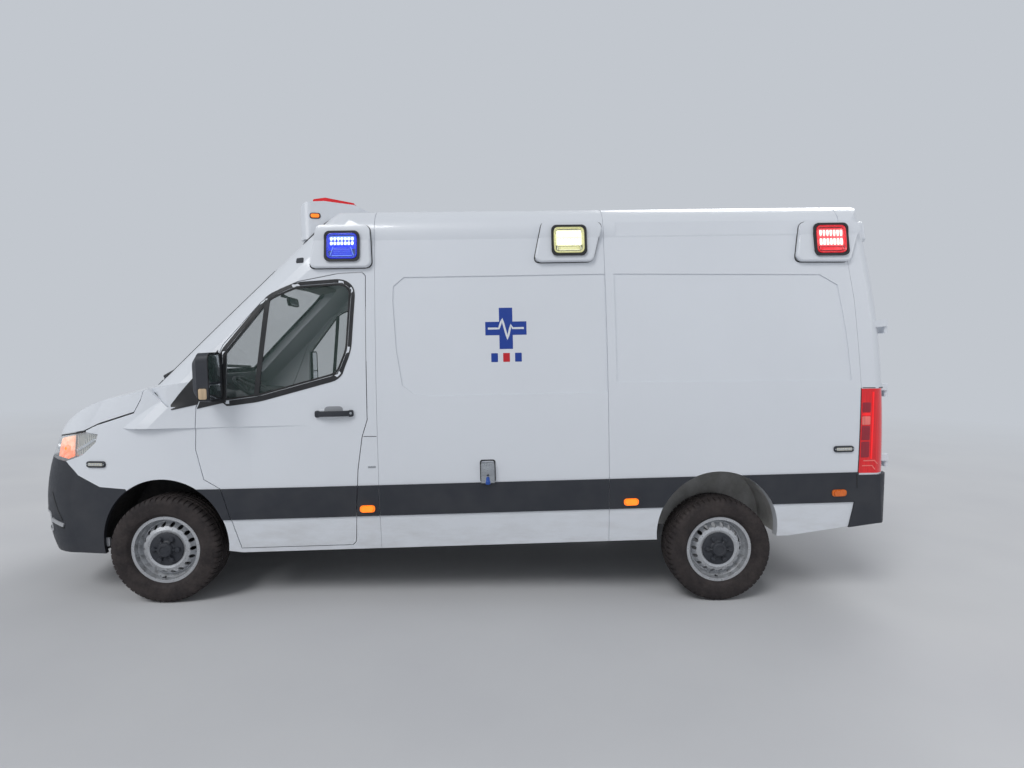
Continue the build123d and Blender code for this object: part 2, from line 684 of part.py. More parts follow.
rear_glass = (glass_layer & rear_zone) & rear_window_prism
for side_name, side in SIDES:
    keep(f"rear_door_{side_name}", of_side(rear_door, side))
    keep(f"rear_glass_{side_name}", of_side(rear_glass, side))

bumper_form = Pos(-REAR_BUMPER_BACK, 0, 0) * envelope(-STRIP_PROUD)
bumper_prism = prism_y(REAR_BUMPER_OUTLINE, -REACH, REACH)
bumper_wrap = ((bumper_form - inner) & bumper_prism) & behind_d
bumper_step = (bumper_form & bumper_prism) & box(-5100, -4720, -STEP_HALF, STEP_HALF, 600, BUMPER_TOP)
keep("rear_bumper", bumper_wrap + bumper_step)

# Roof with the brow over the cab, and lines where its sheets meet
roof_grooves = seam_line(B_SEAM, GROOVE) + seam_line(C_SEAM, GROOVE) + seam_line(ROOF_REAR_SEAM, GROOVE)
keep("roof", (shell & roof_zone) - (surface & roof_grooves))

# Bulkhead between the load space and the cab
partition = inner & box(BULKHEAD_BACK, BULKHEAD_FRONT, -REACH, REACH, CAB_FLOOR_Z - FLOOR_THICK, SHOULDER_Z)
doorway = box(B_SEAM - 80, B_SEAM + 10, -DOORWAY_HALF, DOORWAY_HALF, FLOOR_Z + 60, DOORWAY_HIGH)
keep("bulkhead", partition - doorway)

# Dashboard round the steering column
dash_profile = (
    (90, 900), (90, 1290), (-60, 1318), (-200, 1300), (-345, 1215), (-360, 1120), (-260, 1060), (-230, 860),
    (-60, 800),
)
lean = math.radians(WHEEL_LEAN)
column_plane = Plane(WHEEL_CENTRE, x_dir=(0, 1, 0), z_dir=(-math.sin(lean), 0, math.cos(lean)))
column_hole = column_plane * Pos(0, 0, -COLUMN_REACH / 2) * Cylinder(COLUMN_RADIUS + SEAT_GAP, COLUMN_REACH + 6)
keep("dashboard", (prism_y(dash_profile, -1000, 1000) & inner) - column_hole - housing_cuts[0])


def cab_seat(y):
    """A seat on its plinth at Y, with the backrest and the headrest on two stems."""
    plinth = box(-1180, -760, y - 190, y + 190, CAB_FLOOR_Z, 880)
    cushion_side = ((-1230, 880), (-700, 880), (-690, 990), (-730, 1010), (-1180, 975), (-1230, 960))
    back_side = ((-1230, 962), (-1130, 962), (-1240, 1560), (-1330, 1600), (-1365, 1570))
    rest_side = ((-1300, 1622), (-1255, 1640), (-1275, 1800), (-1340, 1805), (-1370, 1640))
    stems = box(-1330, -1318, y - 70, y - 58, 1540, 1660) + box(-1330, -1318, y + 58, y + 70, 1540, 1660)
    pads = prism_y(cushion_side, y - 255, y + 255) + prism_y(back_side, y - 235, y + 235)
    return plinth + pads + prism_y(rest_side, y - 130, y + 130) + stems


keep("cab_seats", gather([cab_seat(y) for seat_name, y in SEATS]))

# Steering wheel, drawn flat and then leaned on its column
wheel_rim = Torus(188, 14)
wheel_spokes = (Cylinder(62, 44) + Box(30, 376, 16) + Box(376, 30, 16)) & Cylinder(190, 60)
column_stub = Pos(0, 0, -COLUMN_REACH / 2) * Cylinder(COLUMN_RADIUS, COLUMN_REACH)
keep("steering_wheel", column_plane * (wheel_rim + wheel_spokes + column_stub))

# Rubbing strips, parted where the panels behind them part
strip_seams = seam_line(B_SEAM, GROOVE) + seam_line(C_SEAM, GROOVE)
keep("rub_strips", pair(strip_band - (rear_arch + front_arch + door_hole + behind_d + strip_seams)))


# Lamp pods and the warning lamps in them

def lamp_in(form, block, hollow, lens_block):
    """A bezel and its lens on a surface, where form(p) is that surface moved out by p."""
    bezel = ((form(LAMP_PROUD) & block) - form(LAMP_SEAT)) - (hollow - form(LAMP_FLOOR))
    lens = (form(LENS_PROUD) & lens_block) - form(LAMP_FLOOR)
    return bezel, lens


def on_pod(proud):
    return tube(-POD_PROUD - proud)


def inset(limits, amount):
    return (min(limits) + amount, max(limits) - amount)


pods, bezels, lenses = [], [], []
for outline, x_range, z_range in PODS:
    pod_face = outline_face(outline)
    pod_face = fillet(pod_face.vertices(), POD_CORNER)
    pod = (tube(-POD_PROUD) & sweep_y(pod_face, 600, REACH)) - outer
    rim = pod.faces().sort_by(Axis.Y)[-1].outer_wire()
    pods.append(pair(fillet(rim.edges(), POD_EDGE)))
    blocks = [
        rounded_box(inset(x_range, edge), (600, REACH), inset(z_range, edge), Axis.Y, LAMP_CORNER - 0.6 * edge)
        for edge in (0.0, BEZEL, BEZEL + SEAT_GAP)
    ]
    bezel, lens = lamp_in(on_pod, *blocks)
    bezels.append(pair(bezel))
    lenses.append(pair(lens))

out_x, out_y, out_z = REAR_POD_OUT


def rear_block(size, low, high, radius):
    """A rounded block on the rear pod's seat, from low to high above it."""
    seat = Plane(REAR_POD_AT, x_dir=(-out_y, out_x, 0), z_dir=REAR_POD_OUT)
    return extrude(seat.offset(low) * RectangleRounded(*size, radius), amount=high - low)


def smaller(size, amount):
    return tuple(length - 2 * amount for length in size)


pod = rear_block(REAR_POD_SIZE, -50.0, REAR_POD_PROUD, 30.0)
rim = pod.edges().group_by(Axis((0, 0, 0), REAR_POD_OUT))[-1]
pods.append(pair(fillet(rim, POD_EDGE) - outer))
floor_height = REAR_POD_PROUD + LAMP_FLOOR
bezel = rear_block(REAR_LAMP_SIZE, REAR_POD_PROUD + LAMP_SEAT, REAR_POD_PROUD + LAMP_PROUD, 24.0)
bezels.append(pair(bezel - rear_block(smaller(REAR_LAMP_SIZE, BEZEL), floor_height, 90.0, 15.0)))
lens_size = smaller(REAR_LAMP_SIZE, BEZEL + SEAT_GAP)
lenses.append(pair(rear_block(lens_size, floor_height, REAR_POD_PROUD + LENS_PROUD, 15.0)))
keep("lamp_pods", gather(pods))
keep("warning_lenses", gather(lenses))

# Roof fairing over the windscreen, its two forward lamps and the long lens on its top
fairing_side = make_face(
    [
        Polyline(
            (-1030, 2662), (-1226, 2640), (-1370, 2575), (-1500, 2500), (-1500, 2400), (-834, 2400),
            (-846, 2560),
        ),
        ThreePointArc((-846, 2560), (-866, 2628), (-930, 2656)),
        Line((-930, 2656), (-1030, 2662)),
    ]
)
fairing_plan = closed_outline(
    (-822.0, 0.0),
    [
        ((-828.0, 300.0), (-850.0, 540.0)),
        ((-872.0, 612.0), (-940.0, 640.0)),
        ((-1260.0, 590.0),),
        ((-1600.0, 500.0),),
        ((-1600.0, 0.0),),
    ],
    flip_along,
)
fairing = (sweep_y(fairing_side, -700, 700) & extrude(Plane.XY.offset(2300) * fairing_plan, amount=500)) - outer
keep("roof_fairing", fairing)
fairing_lamp = rounded_box((-900, -812), (235, 435), (2448, 2544), Axis.X, 20) - fairing - outer
keep("warning_lamps", gather([*bezels, pair(fairing_lamp)]))
lens_side = ((-925, 2630), (-1035, 2640), (-1225, 2620), (-1222, 2660), (-1030, 2694), (-950, 2684))
lens_plan = extrude(Plane.XY.offset(2600) * offset(fairing_plan, amount=-34), amount=120)
keep("beacon_lenses", (prism_y(lens_side, -590, 590) & lens_plan) - fairing)

# Amber side markers on the strips, and the charging inlet
marker_form = tube(-MARKER_PROUD)
marker_blocks = [
    (marker_form & rounded_box(
        (x - MARKER_LENGTH / 2, x + MARKER_LENGTH / 2), (900, REACH),
        (z - MARKER_HEIGHT / 2, z + MARKER_HEIGHT / 2), Axis.Y, MARKER_HEIGHT / 2 - 1,
    )) - envelope(-STRIP_PROUD)
    for x, z in MARKERS
]
keep("marker_lamps", gather([pair(block) for block in marker_blocks]))
inlet_block = rounded_box(INLET_X, (900, REACH), (STRIP_HIGH - 40, INLET_TOP), Axis.Y, 14)
keep("power_inlet", ((tube(-INLET_PROUD) & inlet_block) - outer) - box(*INLET_X, 900, REACH, 0, STRIP_HIGH))

# Underframe: two rails and the crossmembers that join them
rail_y = (RAIL_Y - RAIL_WIDTH / 2, RAIL_Y + RAIL_WIDTH / 2)
cab_rail = box(-4700, 420, *rail_y, RAIL_LOW, CAB_FLOOR_Z - FLOOR_THICK)
load_rail = box(-4700, BULKHEAD_BACK, *rail_y, RAIL_LOW, FLOOR_Z - FLOOR_THICK)
crosses = [
    box(x - CROSS_WIDTH / 2, x + CROSS_WIDTH / 2, -RAIL_Y, RAIL_Y, RAIL_LOW, CAB_FLOOR_Z - FLOOR_THICK)
    for x in CROSS_X
]
underframe = both_sides(cab_rail + load_rail) + crosses
keep("underframe", underframe)

# Engine and gearbox as one block, seated on the rails
engine_block = box(120, 720, -300, 300, 560, 1080)
gearbox = box(-620, 130, -190, 190, 440, CAB_FLOOR_Z - FLOOR_THICK)
mounts = both_sides(box(300, 380, 290, rail_y[1], CAB_FLOOR_Z - FLOOR_THICK, CAB_FLOOR_Z))
keep("engine", engine_block + gearbox + mounts)

# Front axle: crossmember, lower arms, towers and king pins that lean inboard at the top
king_lean = math.radians(KING_LEAN)
king_up = (0, -math.sin(king_lean), math.cos(king_lean))
king_plane = Plane(origin=(0, KING_Y, TYRE_RADIUS), x_dir=(1, 0, 0), z_dir=king_up)
king_pin = king_plane * Cylinder(KING_RADIUS, 260)
arm_top = king_plane * Pos(0, 0, 100) * Cylinder(45, 49)
arm_low = king_plane * Pos(0, 0, -100) * Cylinder(45, 49)
lower_arm = box(-60, 60, 0, 772, 200, 258)
tower = box(-45, 45, 560, 742, 438, 470) + box(-45, 45, 560, 600, 220, 470)
subframe_leg = box(-45, 45, 400, 460, 220, RAIL_LOW) - tilt(underframe)
keep("front_axle", both_sides(king_pin + arm_top + arm_low + lower_arm + tower + subframe_leg), on_body=False)

# Knuckles: a sleeve on the king pin and the stub that carries the hub
king_bore = king_plane * Cylinder(KING_RADIUS + SEAT_GAP, 300)
stub_start = (0, KING_Y + 30, TYRE_RADIUS)
front_hub_y = TRACK_FRONT / 2 + HUB_FACE
stub = rod(stub_start, (0, front_hub_y - SEAT_GAP, TYRE_RADIUS), HUB_RADIUS)
spigot = rod(stub_start, (0, front_hub_y + 20, TYRE_RADIUS), BORE_RADIUS - SEAT_GAP)
knuckle = (king_plane * Cylinder(42, 150) + stub + spigot) - king_bore
for side_name, side in SIDES:
    keep(f"knuckle_{side_name}", of_side(knuckle, side), on_body=False)

# Rear axle and the propshaft to it
rear_hub_y = TRACK_REAR / 2 + HUB_FACE
axle_line = [(-WHEELBASE, sign * (rear_hub_y - SEAT_GAP), TYRE_RADIUS) for sign in (-1, 1)]
axle_ends = [(-WHEELBASE, sign * (rear_hub_y + 20), TYRE_RADIUS) for sign in (-1, 1)]
axle_tube = rod(*axle_line, HUB_RADIUS)
differential = Pos(-WHEELBASE, 0, TYRE_RADIUS) * Sphere(150)
keep("rear_axle", axle_tube + rod(*axle_ends, BORE_RADIUS - SEAT_GAP) + differential, on_body=False)
shaft = rod((-WHEELBASE + 60, 0, TYRE_RADIUS), (-600.0, 0.0, 510.0), 35)
keep("propshaft", shaft - differential - tilt(nodes["engine"]), on_body=False)

# Leaf springs between the axle tube and the rails
spring_x = -WHEELBASE
leaf_side = make_face(
    [
        ThreePointArc((spring_x - 640, 570), (spring_x, 460), (spring_x + 640, 570)),
        Line((spring_x + 640, 570), (spring_x + 640, 534)),
        ThreePointArc((spring_x + 640, 534), (spring_x, 424), (spring_x - 640, 534)),
        Line((spring_x - 640, 534), (spring_x - 640, 570)),
    ]
)
leaf_pack = sweep_y(leaf_side, RAIL_Y - 35, RAIL_Y + 35)
saddle = box(spring_x - 60, spring_x + 60, RAIL_Y - 40, RAIL_Y + 40, TYRE_RADIUS, 430)
shackles = [
    box(spring_x + dx - 25, spring_x + dx + 25, RAIL_Y - 30, RAIL_Y + 30, 550, 700) for dx in (-600, 600)
]
spring = ((leaf_pack + saddle + shackles[0] + shackles[1]) - tilt(underframe)) - axle_tube
keep("leaf_springs", pair(spring), on_body=False)

# Fuel tank in its straps, and the exhaust
tank = fillet(box(-2650, -1750, 490, 860, 380, 570).edges(), 45)
straps = [box(x - 20, x + 20, 560, 600, 520, FLOOR_Z - FLOOR_THICK) for x in (-2450, -1950)]
keep("fuel_tank", tank + straps)
PIPE = 30.0
MUFFLER = 95.0
exhaust_line = (
    rod((150, -250, 560), (150, -250, 470), PIPE)
    + Pos(150, -250, 470) * Sphere(PIPE)
    + rod((150, -250, 470), (-1500, -620, 460), PIPE)
    + rod((-1500, -620, 460), (-2300, -620, 460), MUFFLER)
    + rod((-2300, -620, 460), (-3040, -720, 440), PIPE)
    + box(-1920, -1880, -640, -600, 500, FLOOR_Z - FLOOR_THICK)
)
keep("exhaust", exhaust_line)

# Wheels, drawn about the Y axis with the outer face towards +Y; profiles are (radius, Y)
half_rim = RIM_WIDTH / 2
hub_out = HUB_FACE + DISC_THICK
disc_profile = (
    (BORE_RADIUS, HUB_FACE), (104, HUB_FACE), (126, HUB_FACE + 8), (146, HUB_FACE - 2), (170, 20), (182, 20),
    (182, 26), (174, 26), (150, hub_out), (127, hub_out + 8), (102, hub_out), (BORE_RADIUS, hub_out),
)
barrel_profile = (
    (182, half_rim - 62), (200, half_rim - 40), (206, half_rim - 14), (RIM_RADIUS, half_rim - 6),
    (RIM_RADIUS, half_rim), (201, half_rim), (195, half_rim - 36), (176, half_rim - 64), (176, -32),
    (195, -half_rim + 38), (201, -half_rim), (RIM_RADIUS, -half_rim), (RIM_RADIUS, -half_rim + 6),
    (206, -half_rim + 14), (200, -half_rim + 40), (182, -30),
)
tyre_half = (
    (TYRE_RADIUS, 76), (341, 96), (318, 110), (280, 117.5), (240, 104), (227, half_rim + 3),
    (222, half_rim - 5.26), (208, half_rim - 13.26), (216, half_rim - 24), (330, 84),
)
tyre_profile = (*tyre_half, *[(radius, -y) for radius, y in reversed(tyre_half)])


def turned(profile):
    """A ring about the Y axis from (radius, Y) points."""
    return revolve(outline_face(profile), axis=Axis.Y, revolution_arc=360)


def holes(count, circle, radius):
    """Holes through a wheel's disc, evenly spaced on a circle."""
    return [
        Rot(0, i * 360 / count, 0) * Pos(circle, HUB_FACE, 0) * Rot(90, 0, 0) * Cylinder(radius, 120)
        for i in range(count)
    ]


disc_holes = holes(VENT_COUNT, VENT_CIRCLE, VENT_RADIUS) + holes(BOLT_COUNT, BOLT_CIRCLE / 2, BOLT_HOLE)
rim = (turned(barrel_profile) + turned(disc_profile)) - disc_holes
tyre = turned(tyre_profile)
WHEELS = (
    ("front_left", 0.0, TRACK_FRONT / 2, 1.0), ("front_right", 0.0, TRACK_FRONT / 2, -1.0),
    ("rear_left", -WHEELBASE, TRACK_REAR / 2, 1.0), ("rear_right", -WHEELBASE, TRACK_REAR / 2, -1.0),
)
for wheel_name, x, y, side in WHEELS:
    place = Pos(x, side * y, TYRE_RADIUS)
    keep(f"rim_{wheel_name}", place * of_side(rim, side), on_body=False)
    keep(f"tyre_{wheel_name}", place * of_side(tyre, side), on_body=False)

# The level body is tilted, and everything moved to the shared origin
tilted = {name: (tilt(shape) if name in level else shape) for name, shape in nodes.items()}
boxes = [shape.bounding_box() for shape in tilted.values()]
ORIGIN_SHIFT = -(min(b.min.X for b in boxes) + max(b.max.X for b in boxes)) / 2
finished = {name: Pos(ORIGIN_SHIFT, 0, 0) * shape for name, shape in tilted.items()}

os.makedirs(OUT, exist_ok=True)
for name, shape in finished.items():
    export_step(shape, os.path.join(OUT, name + ".step"))
print("front axle at X", round(ORIGIN_SHIFT, 3))
print("width from", min(b.min.Y for b in boxes), "to", max(b.max.Y for b in boxes))
print("height from", min(b.min.Z for b in boxes), "to", max(b.max.Z for b in boxes))
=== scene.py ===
"""Looks of the high-roof van ambulance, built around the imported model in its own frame."""

import json
import math

import bmesh
import bpy
from mathutils import Matrix, Vector
from mathutils.bvhtree import BVHTree


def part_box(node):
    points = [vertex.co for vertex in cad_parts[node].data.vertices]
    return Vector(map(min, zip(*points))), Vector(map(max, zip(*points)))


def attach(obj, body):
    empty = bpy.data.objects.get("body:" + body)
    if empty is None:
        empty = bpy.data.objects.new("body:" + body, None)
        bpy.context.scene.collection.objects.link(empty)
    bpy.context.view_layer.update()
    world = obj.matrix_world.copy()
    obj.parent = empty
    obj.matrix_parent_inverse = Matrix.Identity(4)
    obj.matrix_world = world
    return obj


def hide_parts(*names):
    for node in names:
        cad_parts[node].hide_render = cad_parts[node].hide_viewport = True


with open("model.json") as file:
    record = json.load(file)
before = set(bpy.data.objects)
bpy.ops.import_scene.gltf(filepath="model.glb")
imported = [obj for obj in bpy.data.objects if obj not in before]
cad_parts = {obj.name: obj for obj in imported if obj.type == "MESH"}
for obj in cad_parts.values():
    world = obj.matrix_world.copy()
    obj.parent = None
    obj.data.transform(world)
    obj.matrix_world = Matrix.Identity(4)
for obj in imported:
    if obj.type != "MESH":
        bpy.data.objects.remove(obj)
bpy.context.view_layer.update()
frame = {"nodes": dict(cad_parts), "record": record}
NODES = frame["nodes"]
SIDES = (("left", 1), ("right", -1))

# The body stands nose down by RAKE. Points on it are given in its own level frame, in millimetres:
# X forward from the front axle, Y to the left, Z up from the ground under that axle.
METRE = 1000
MM = 1 / METRE
TO_METRES = Matrix.Scale(MM, 4)
RAKE = math.radians(1.75)
AXLE = sum(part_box("tyre_front_left"), Vector()) / 2
LEVEL_METRES = Matrix.Translation((AXLE.x, 0, 0)) @ Matrix.Rotation(RAKE, 4, "Y")
LEVEL = LEVEL_METRES @ TO_METRES
TO_LEVEL = LEVEL.inverted()


# Materials

def srgb(red, green, blue):
    """A colour as it shows on a screen, 0 to 255, in the linear values that shaders take."""
    def linear(value):
        value /= 255
        return value / 12.92 if value <= 0.04045 else ((value + 0.055) / 1.055) ** 2.4
    return (linear(red), linear(green), linear(blue), 1.0)


def toned(colour, factor, lift=0.0):
    return tuple(c * factor + lift for c in colour[:3]) + (1.0,)


def feed(tree, socket, value):
    """Links an output to a node's input, or sets the input to a plain value."""
    if isinstance(value, bpy.types.NodeSocket):
        tree.links.new(value, socket)
    else:
        socket.default_value = value


def add_node(tree, kind, output, inputs, **settings):
    """The output of a new node, whose inputs are given as values or as other outputs."""
    node = tree.nodes.new(f"ShaderNode{kind}")
    for name, value in settings.items():
        setattr(node, name, value)
    for key, value in inputs.items():
        feed(tree, node.inputs[key], value)
    return node.outputs[output]


class Nodes:
    """Short forms for building a material's node tree."""

    def __init__(self, name, **settings):
        self.material = bpy.data.materials.new(name)
        self.material.use_nodes = True
        self.tree = self.material.node_tree
        self.shader = self.tree.nodes["Principled BSDF"]
        self.coords = self.add("TexCoord", "Object", {})
        self.shade(**settings)

    def add(self, kind, output, inputs, **settings):
        return add_node(self.tree, kind, output, inputs, **settings)

    def shade(self, **inputs):
        """Sets or feeds the shader's own inputs."""
        for name, value in inputs.items():
            feed(self.tree, self.shader.inputs[name.replace("_", " ")], value)

    def noise(self, scale, detail=3.0, stretch=(1, 1, 1), rough=0.5):
        vector = self.add("Mapping", "Vector", {"Vector": self.coords, "Scale": stretch})
        inputs = {"Vector": vector, "Scale": scale, "Detail": detail, "Roughness": rough}
        return self.add("TexNoise", "Fac", inputs)

    def cells(self, scale):
        return self.add("TexVoronoi", "Distance", {"Vector": self.coords, "Scale": scale})

    def axis(self, name):
        return self.add("SeparateXYZ", name, {"Vector": self.coords})

    def span(self, value, low, high, to_low=0.0, to_high=1.0):
        ends = {"From Min": low, "From Max": high, "To Min": to_low, "To Max": to_high}
        return self.add("MapRange", "Result", {"Value": value, **ends})

    def uneven(self, scale, detail, low=0.0, high=1.0):
        """A value that wanders between low and high in patches."""
        return self.span(self.noise(scale, detail), 0.3, 0.7, low, high)

    def math(self, operation, first, second=0.0):
        return self.add("Math", "Value", {0: first, 1: second}, operation=operation)

    def mix(self, factor, first, second):
        return self.add("Mix", 2, {"Factor": factor, 6: first, 7: second}, data_type="RGBA")

    def bumped(self, height, strength, distance):
        """The finished material, with relief."""
        relief = {"Height": height, "Strength": strength, "Distance": distance}
        self.shade(Normal=self.add("Bump", "Normal", relief))
        return self.material


def paint(name, colour, dust=(0.30, 0.27, 0.23, 1.0)):
    """Gloss body paint with a faint orange peel, and road dust that thins out upwards."""
    m = Nodes(name, Coat_Weight=0.7, Coat_Roughness=0.06)
    height = m.span(m.axis("Z"), 0.28, 0.75, 1.0, 0.0)
    spots = m.span(m.noise(7.0, 6.0, (0.6, 0.6, 2.0), 0.65), 0.42, 0.78)
    dirt = m.math("MULTIPLY", m.math("MULTIPLY", height, spots), 0.4)
    tone = m.mix(m.uneven(1.1, 3.0), colour, toned(colour, 0.965))
    m.shade(Base_Color=m.mix(dirt, tone, dust), Roughness=m.span(dirt, 0.0, 0.4, 0.30, 0.62))
    return m.bumped(m.noise(420.0, 2.0), 0.05, 0.0006)


def moulded(name, colour, rough=0.5, grain=900.0, depth=0.35, dusty=0.12):
    """Moulded plastic with a fine leathery grain and a little dust."""
    m = Nodes(name, Specular_IOR_Level=0.42)
    cloud = m.span(m.noise(5.0, 5.0, rough=0.6), 0.4, 0.8, 0.0, dusty)
    m.shade(Base_Color=m.mix(cloud, colour, (0.16, 0.155, 0.15, 1.0)),
            Roughness=m.uneven(40.0, 3.0, rough - 0.06, rough + 0.08))
    return m.bumped(m.cells(grain), depth, 0.0004)


def metal(name, colour, rough=0.35, metallic=1.0, grime=0.25, scale=30.0):
    """Painted or bare metal with grime in patches and fine scuffs."""
    m = Nodes(name, Metallic=metallic)
    patches = m.span(m.noise(scale, 6.0, rough=0.65), 0.45, 0.8, 0.0, grime)
    m.shade(Base_Color=m.mix(patches, colour, (0.05, 0.045, 0.04, 1.0)),
            Roughness=m.uneven(scale * 3, 4.0, rough - 0.08, rough + 0.12))
    return m.bumped(m.noise(scale * 12, 3.0), 0.12, 0.0005)


def rubber(name, colour, dusty=0.3):
    """Tyre rubber, dusty brown-grey on the tread and the sidewall."""
    m = Nodes(name, Specular_IOR_Level=0.3)
    dust = m.span(m.noise(9.0, 7.0, rough=0.7), 0.38, 0.75, 0.02, dusty)
    m.shade(Base_Color=m.mix(dust, colour, srgb(104, 94, 90)), Roughness=m.uneven(60.0, 4.0, 0.68, 0.9))
    return m.bumped(m.noise(700.0, 3.0), 0.25, 0.0006)


def glass(name, colour, alpha, rough=0.02):
    """Window glass: it reflects, and a tinted share of it lets the view through."""
    m = Nodes(name, Alpha=alpha, IOR=1.5, Coat_Weight=0.4, Coat_Roughness=0.02)
    haze = m.span(m.noise(6.0, 5.0), 0.35, 0.8)
    m.shade(Base_Color=m.mix(haze, colour, toned(colour, 1.25, 0.004)),
            Roughness=m.span(haze, 0.0, 1.0, rough, rough + 0.05))
    return m.material


def lens(name, colour, glow=(0, 0, 0, 1), strength=0.0, rough=0.12, ribs=260.0):
    """Moulded lamp lens with fine ribs, lit from inside where glow is given."""
    m = Nodes(name, Coat_Weight=0.6, Coat_Roughness=0.04, Emission_Color=glow, Emission_Strength=strength)
    ribbed = m.noise(ribs, 1.0, (1.0, 1.0, 0.02))
    m.shade(Base_Color=m.mix(m.span(ribbed, 0.3, 0.7), colour, toned(colour, 0.7)),
            Roughness=m.uneven(25.0, 2.0, rough, rough + 0.1))
    return m.bumped(ribbed, 0.3, 0.0008)


def cloth(name, colour, weave=900.0):
    """Woven seat cloth."""
    m = Nodes(name, Sheen_Weight=0.25, Sheen_Roughness=0.5, Specular_IOR_Level=0.2)
    threads = m.noise(weave, 2.0, (1.0, 0.25, 1.0))
    m.shade(Base_Color=m.mix(m.span(threads, 0.3, 0.7), colour, toned(colour, 1.5, 0.01)),
            Roughness=m.uneven(80.0, 2.0, 0.8, 0.95))
    return m.bumped(threads, 0.4, 0.0008)


def painted_glow_bowl():
    """A reflector with painted glow and painted reflection of the lit indicator: orange low and forward, and
    clear towards its top.
    """
    m = Nodes("headlamp_bowl_painted_glow", Metallic=0.55, Roughness=0.22, Emission_Strength=0.55)
    height = m.span(m.axis("Z"), 0.93, 1.11)
    patches = m.span(m.noise(26.0, 3.0), 0.35, 0.65, -0.25, 0.25)
    # Painted light of the lit indicator: orange low, pale higher up, used as both colour and glow
    tone = m.mix(m.math("ADD", height, patches), srgb(255, 128, 34), srgb(246, 226, 204))
    m.shade(Base_Color=tone, Emission_Color=tone)
    return m.bumped(m.cells(160.0), 0.5, 0.002)


def markers_lit_ahead():
    """The side markers shine on the front and middle of the body, and are dark at the tail."""
    m = Nodes("marker_lenses", Coat_Weight=0.6, Coat_Roughness=0.04, Emission_Color=srgb(255, 132, 20))
    ribbed = m.noise(260.0, 1.0, (1.0, 1.0, 0.02))
    m.shade(Base_Color=m.mix(m.span(ribbed, 0.3, 0.7), srgb(238, 118, 22), srgb(206, 92, 14)),
            Emission_Strength=m.span(m.axis("X"), -2.1, -1.9, 0.0, 1.1))
    return m.bumped(ribbed, 0.3, 0.0008)


def arch_liners():
    """Black liners in front; the rear wheelhouses are body-coloured, shown light grey as the white with
    painted shade of their recess, and dusty from the road.
    """
    m = Nodes("wheel_housing")
    dirt = m.span(m.noise(6.0, 6.0, rough=0.65), 0.40, 0.72, 0.05, 0.62)
    # Rear: painted shade, a light grey standing for the white body colour deep in the wheelhouse
    rear = m.mix(dirt, srgb(196, 196, 194), srgb(112, 104, 96))
    front = m.mix(dirt, srgb(40, 40, 42), srgb(70, 66, 62))
    m.shade(Base_Color=m.mix(m.span(m.axis("X"), -0.05, 0.05), rear, front),
            Roughness=m.uneven(40.0, 3.0, 0.6, 0.85))
    return m.bumped(m.cells(300.0), 0.4, 0.0004)


WHITE = paint("white_paint", srgb(222, 226, 232))
BLACK = moulded("black_plastic", srgb(44, 47, 54))
SATIN = moulded("satin_black", srgb(30, 31, 34), rough=0.42, grain=1500.0, depth=0.1)
TRIM = moulded("cab_trim", srgb(92, 93, 96), rough=0.6)
LINER = moulded("arch_liner", srgb(40, 40, 42), rough=0.75, grain=300.0, depth=0.5)
VINYL = moulded("floor_vinyl", srgb(150, 151, 153), grain=500.0)
CHASSIS = metal("chassis_paint", srgb(52, 52, 54), rough=0.5, metallic=0.2)
CAST = metal("bare_casting", srgb(96, 94, 92), rough=0.55, metallic=0.8)
SILVER = metal("wheel_silver", srgb(190, 192, 195), rough=0.32, metallic=0.65, grime=0.2)
RUBBER = rubber("tyre_rubber", srgb(40, 36, 37))
WINDOW = glass("window_glass", srgb(74, 94, 88), 0.17)
DARK_GLASS = glass("privacy_glass", srgb(20, 23, 25), 0.94)
CLEAR = glass("clear_lens", srgb(225, 230, 235), 0.3)
RED = lens("red_lens", srgb(222, 6, 20), srgb(222, 6, 20), 0.16)
AMBER = lens("amber_lens", srgb(240, 120, 20))
STEEL = metal("brushed_steel", srgb(176, 180, 184), rough=0.3, grime=0.1)
SEAL = moulded("rubber_seal", srgb(24, 25, 27), rough=0.6, grain=700.0, depth=0.2, dusty=0.2)
FRIT = moulded("fired_black_border", srgb(14, 15, 17), rough=0.12, grain=2500.0, depth=0.02, dusty=0.04)
# The handles' bowls: a grey plate of painted shade, which stands in for a recess that is not pressed into the
# panel
SHADED_BOWL = moulded("handle_bowl_painted_shade", srgb(150, 153, 158), rough=0.45, grain=1500.0, depth=0.05)
GREY_TRIM = moulded("grey_trim", srgb(168, 170, 174), rough=0.4, grain=1500.0, depth=0.05)
GAP = moulded("panel_gap", srgb(58, 61, 66), rough=0.8)
BLUE = moulded("socket_blue", srgb(40, 84, 170), rough=0.4, grain=1200.0, depth=0.1)
EMBLEM = moulded("cross_blue", srgb(26, 62, 150), rough=0.35, grain=2500.0, depth=0.03, dusty=0.05)
EMBLEM_RED = moulded("bar_red", srgb(196, 32, 44), rough=0.35, grain=2500.0, depth=0.03, dusty=0.05)
HEADLINER = moulded("headliner_felt", srgb(178, 178, 176), rough=0.9, grain=600.0, depth=0.5)
PLATE = moulded("blank_plate", srgb(214, 216, 218), rough=0.35, grain=2500.0, depth=0.03)
PEARL = lens("clear_led_window", srgb(206, 204, 190), rough=0.15, ribs=420.0)
CHROME = metal("chrome", srgb(214, 217, 220), rough=0.1, grime=0.06)
CHROME_DARK = metal("dark_chrome", srgb(110, 113, 118), rough=0.18, grime=0.1)
MIRROR = metal("mirror_silver", srgb(220, 224, 228), rough=0.03, grime=0.03)
AMBER_LIT = lens("amber_lit", srgb(244, 128, 24), srgb(255, 120, 20), 0.9)
INDICATOR = lens("mirror_indicator", srgb(214, 186, 150))
GLOWING_BOWL = painted_glow_bowl()
DEEP_RED = lens("deep_red_cells", srgb(150, 6, 36), srgb(150, 6, 36), 0.10, ribs=600.0)
PALE_RED = lens("pale_red_cells", srgb(240, 120, 112), srgb(240, 120, 112), 0.12)
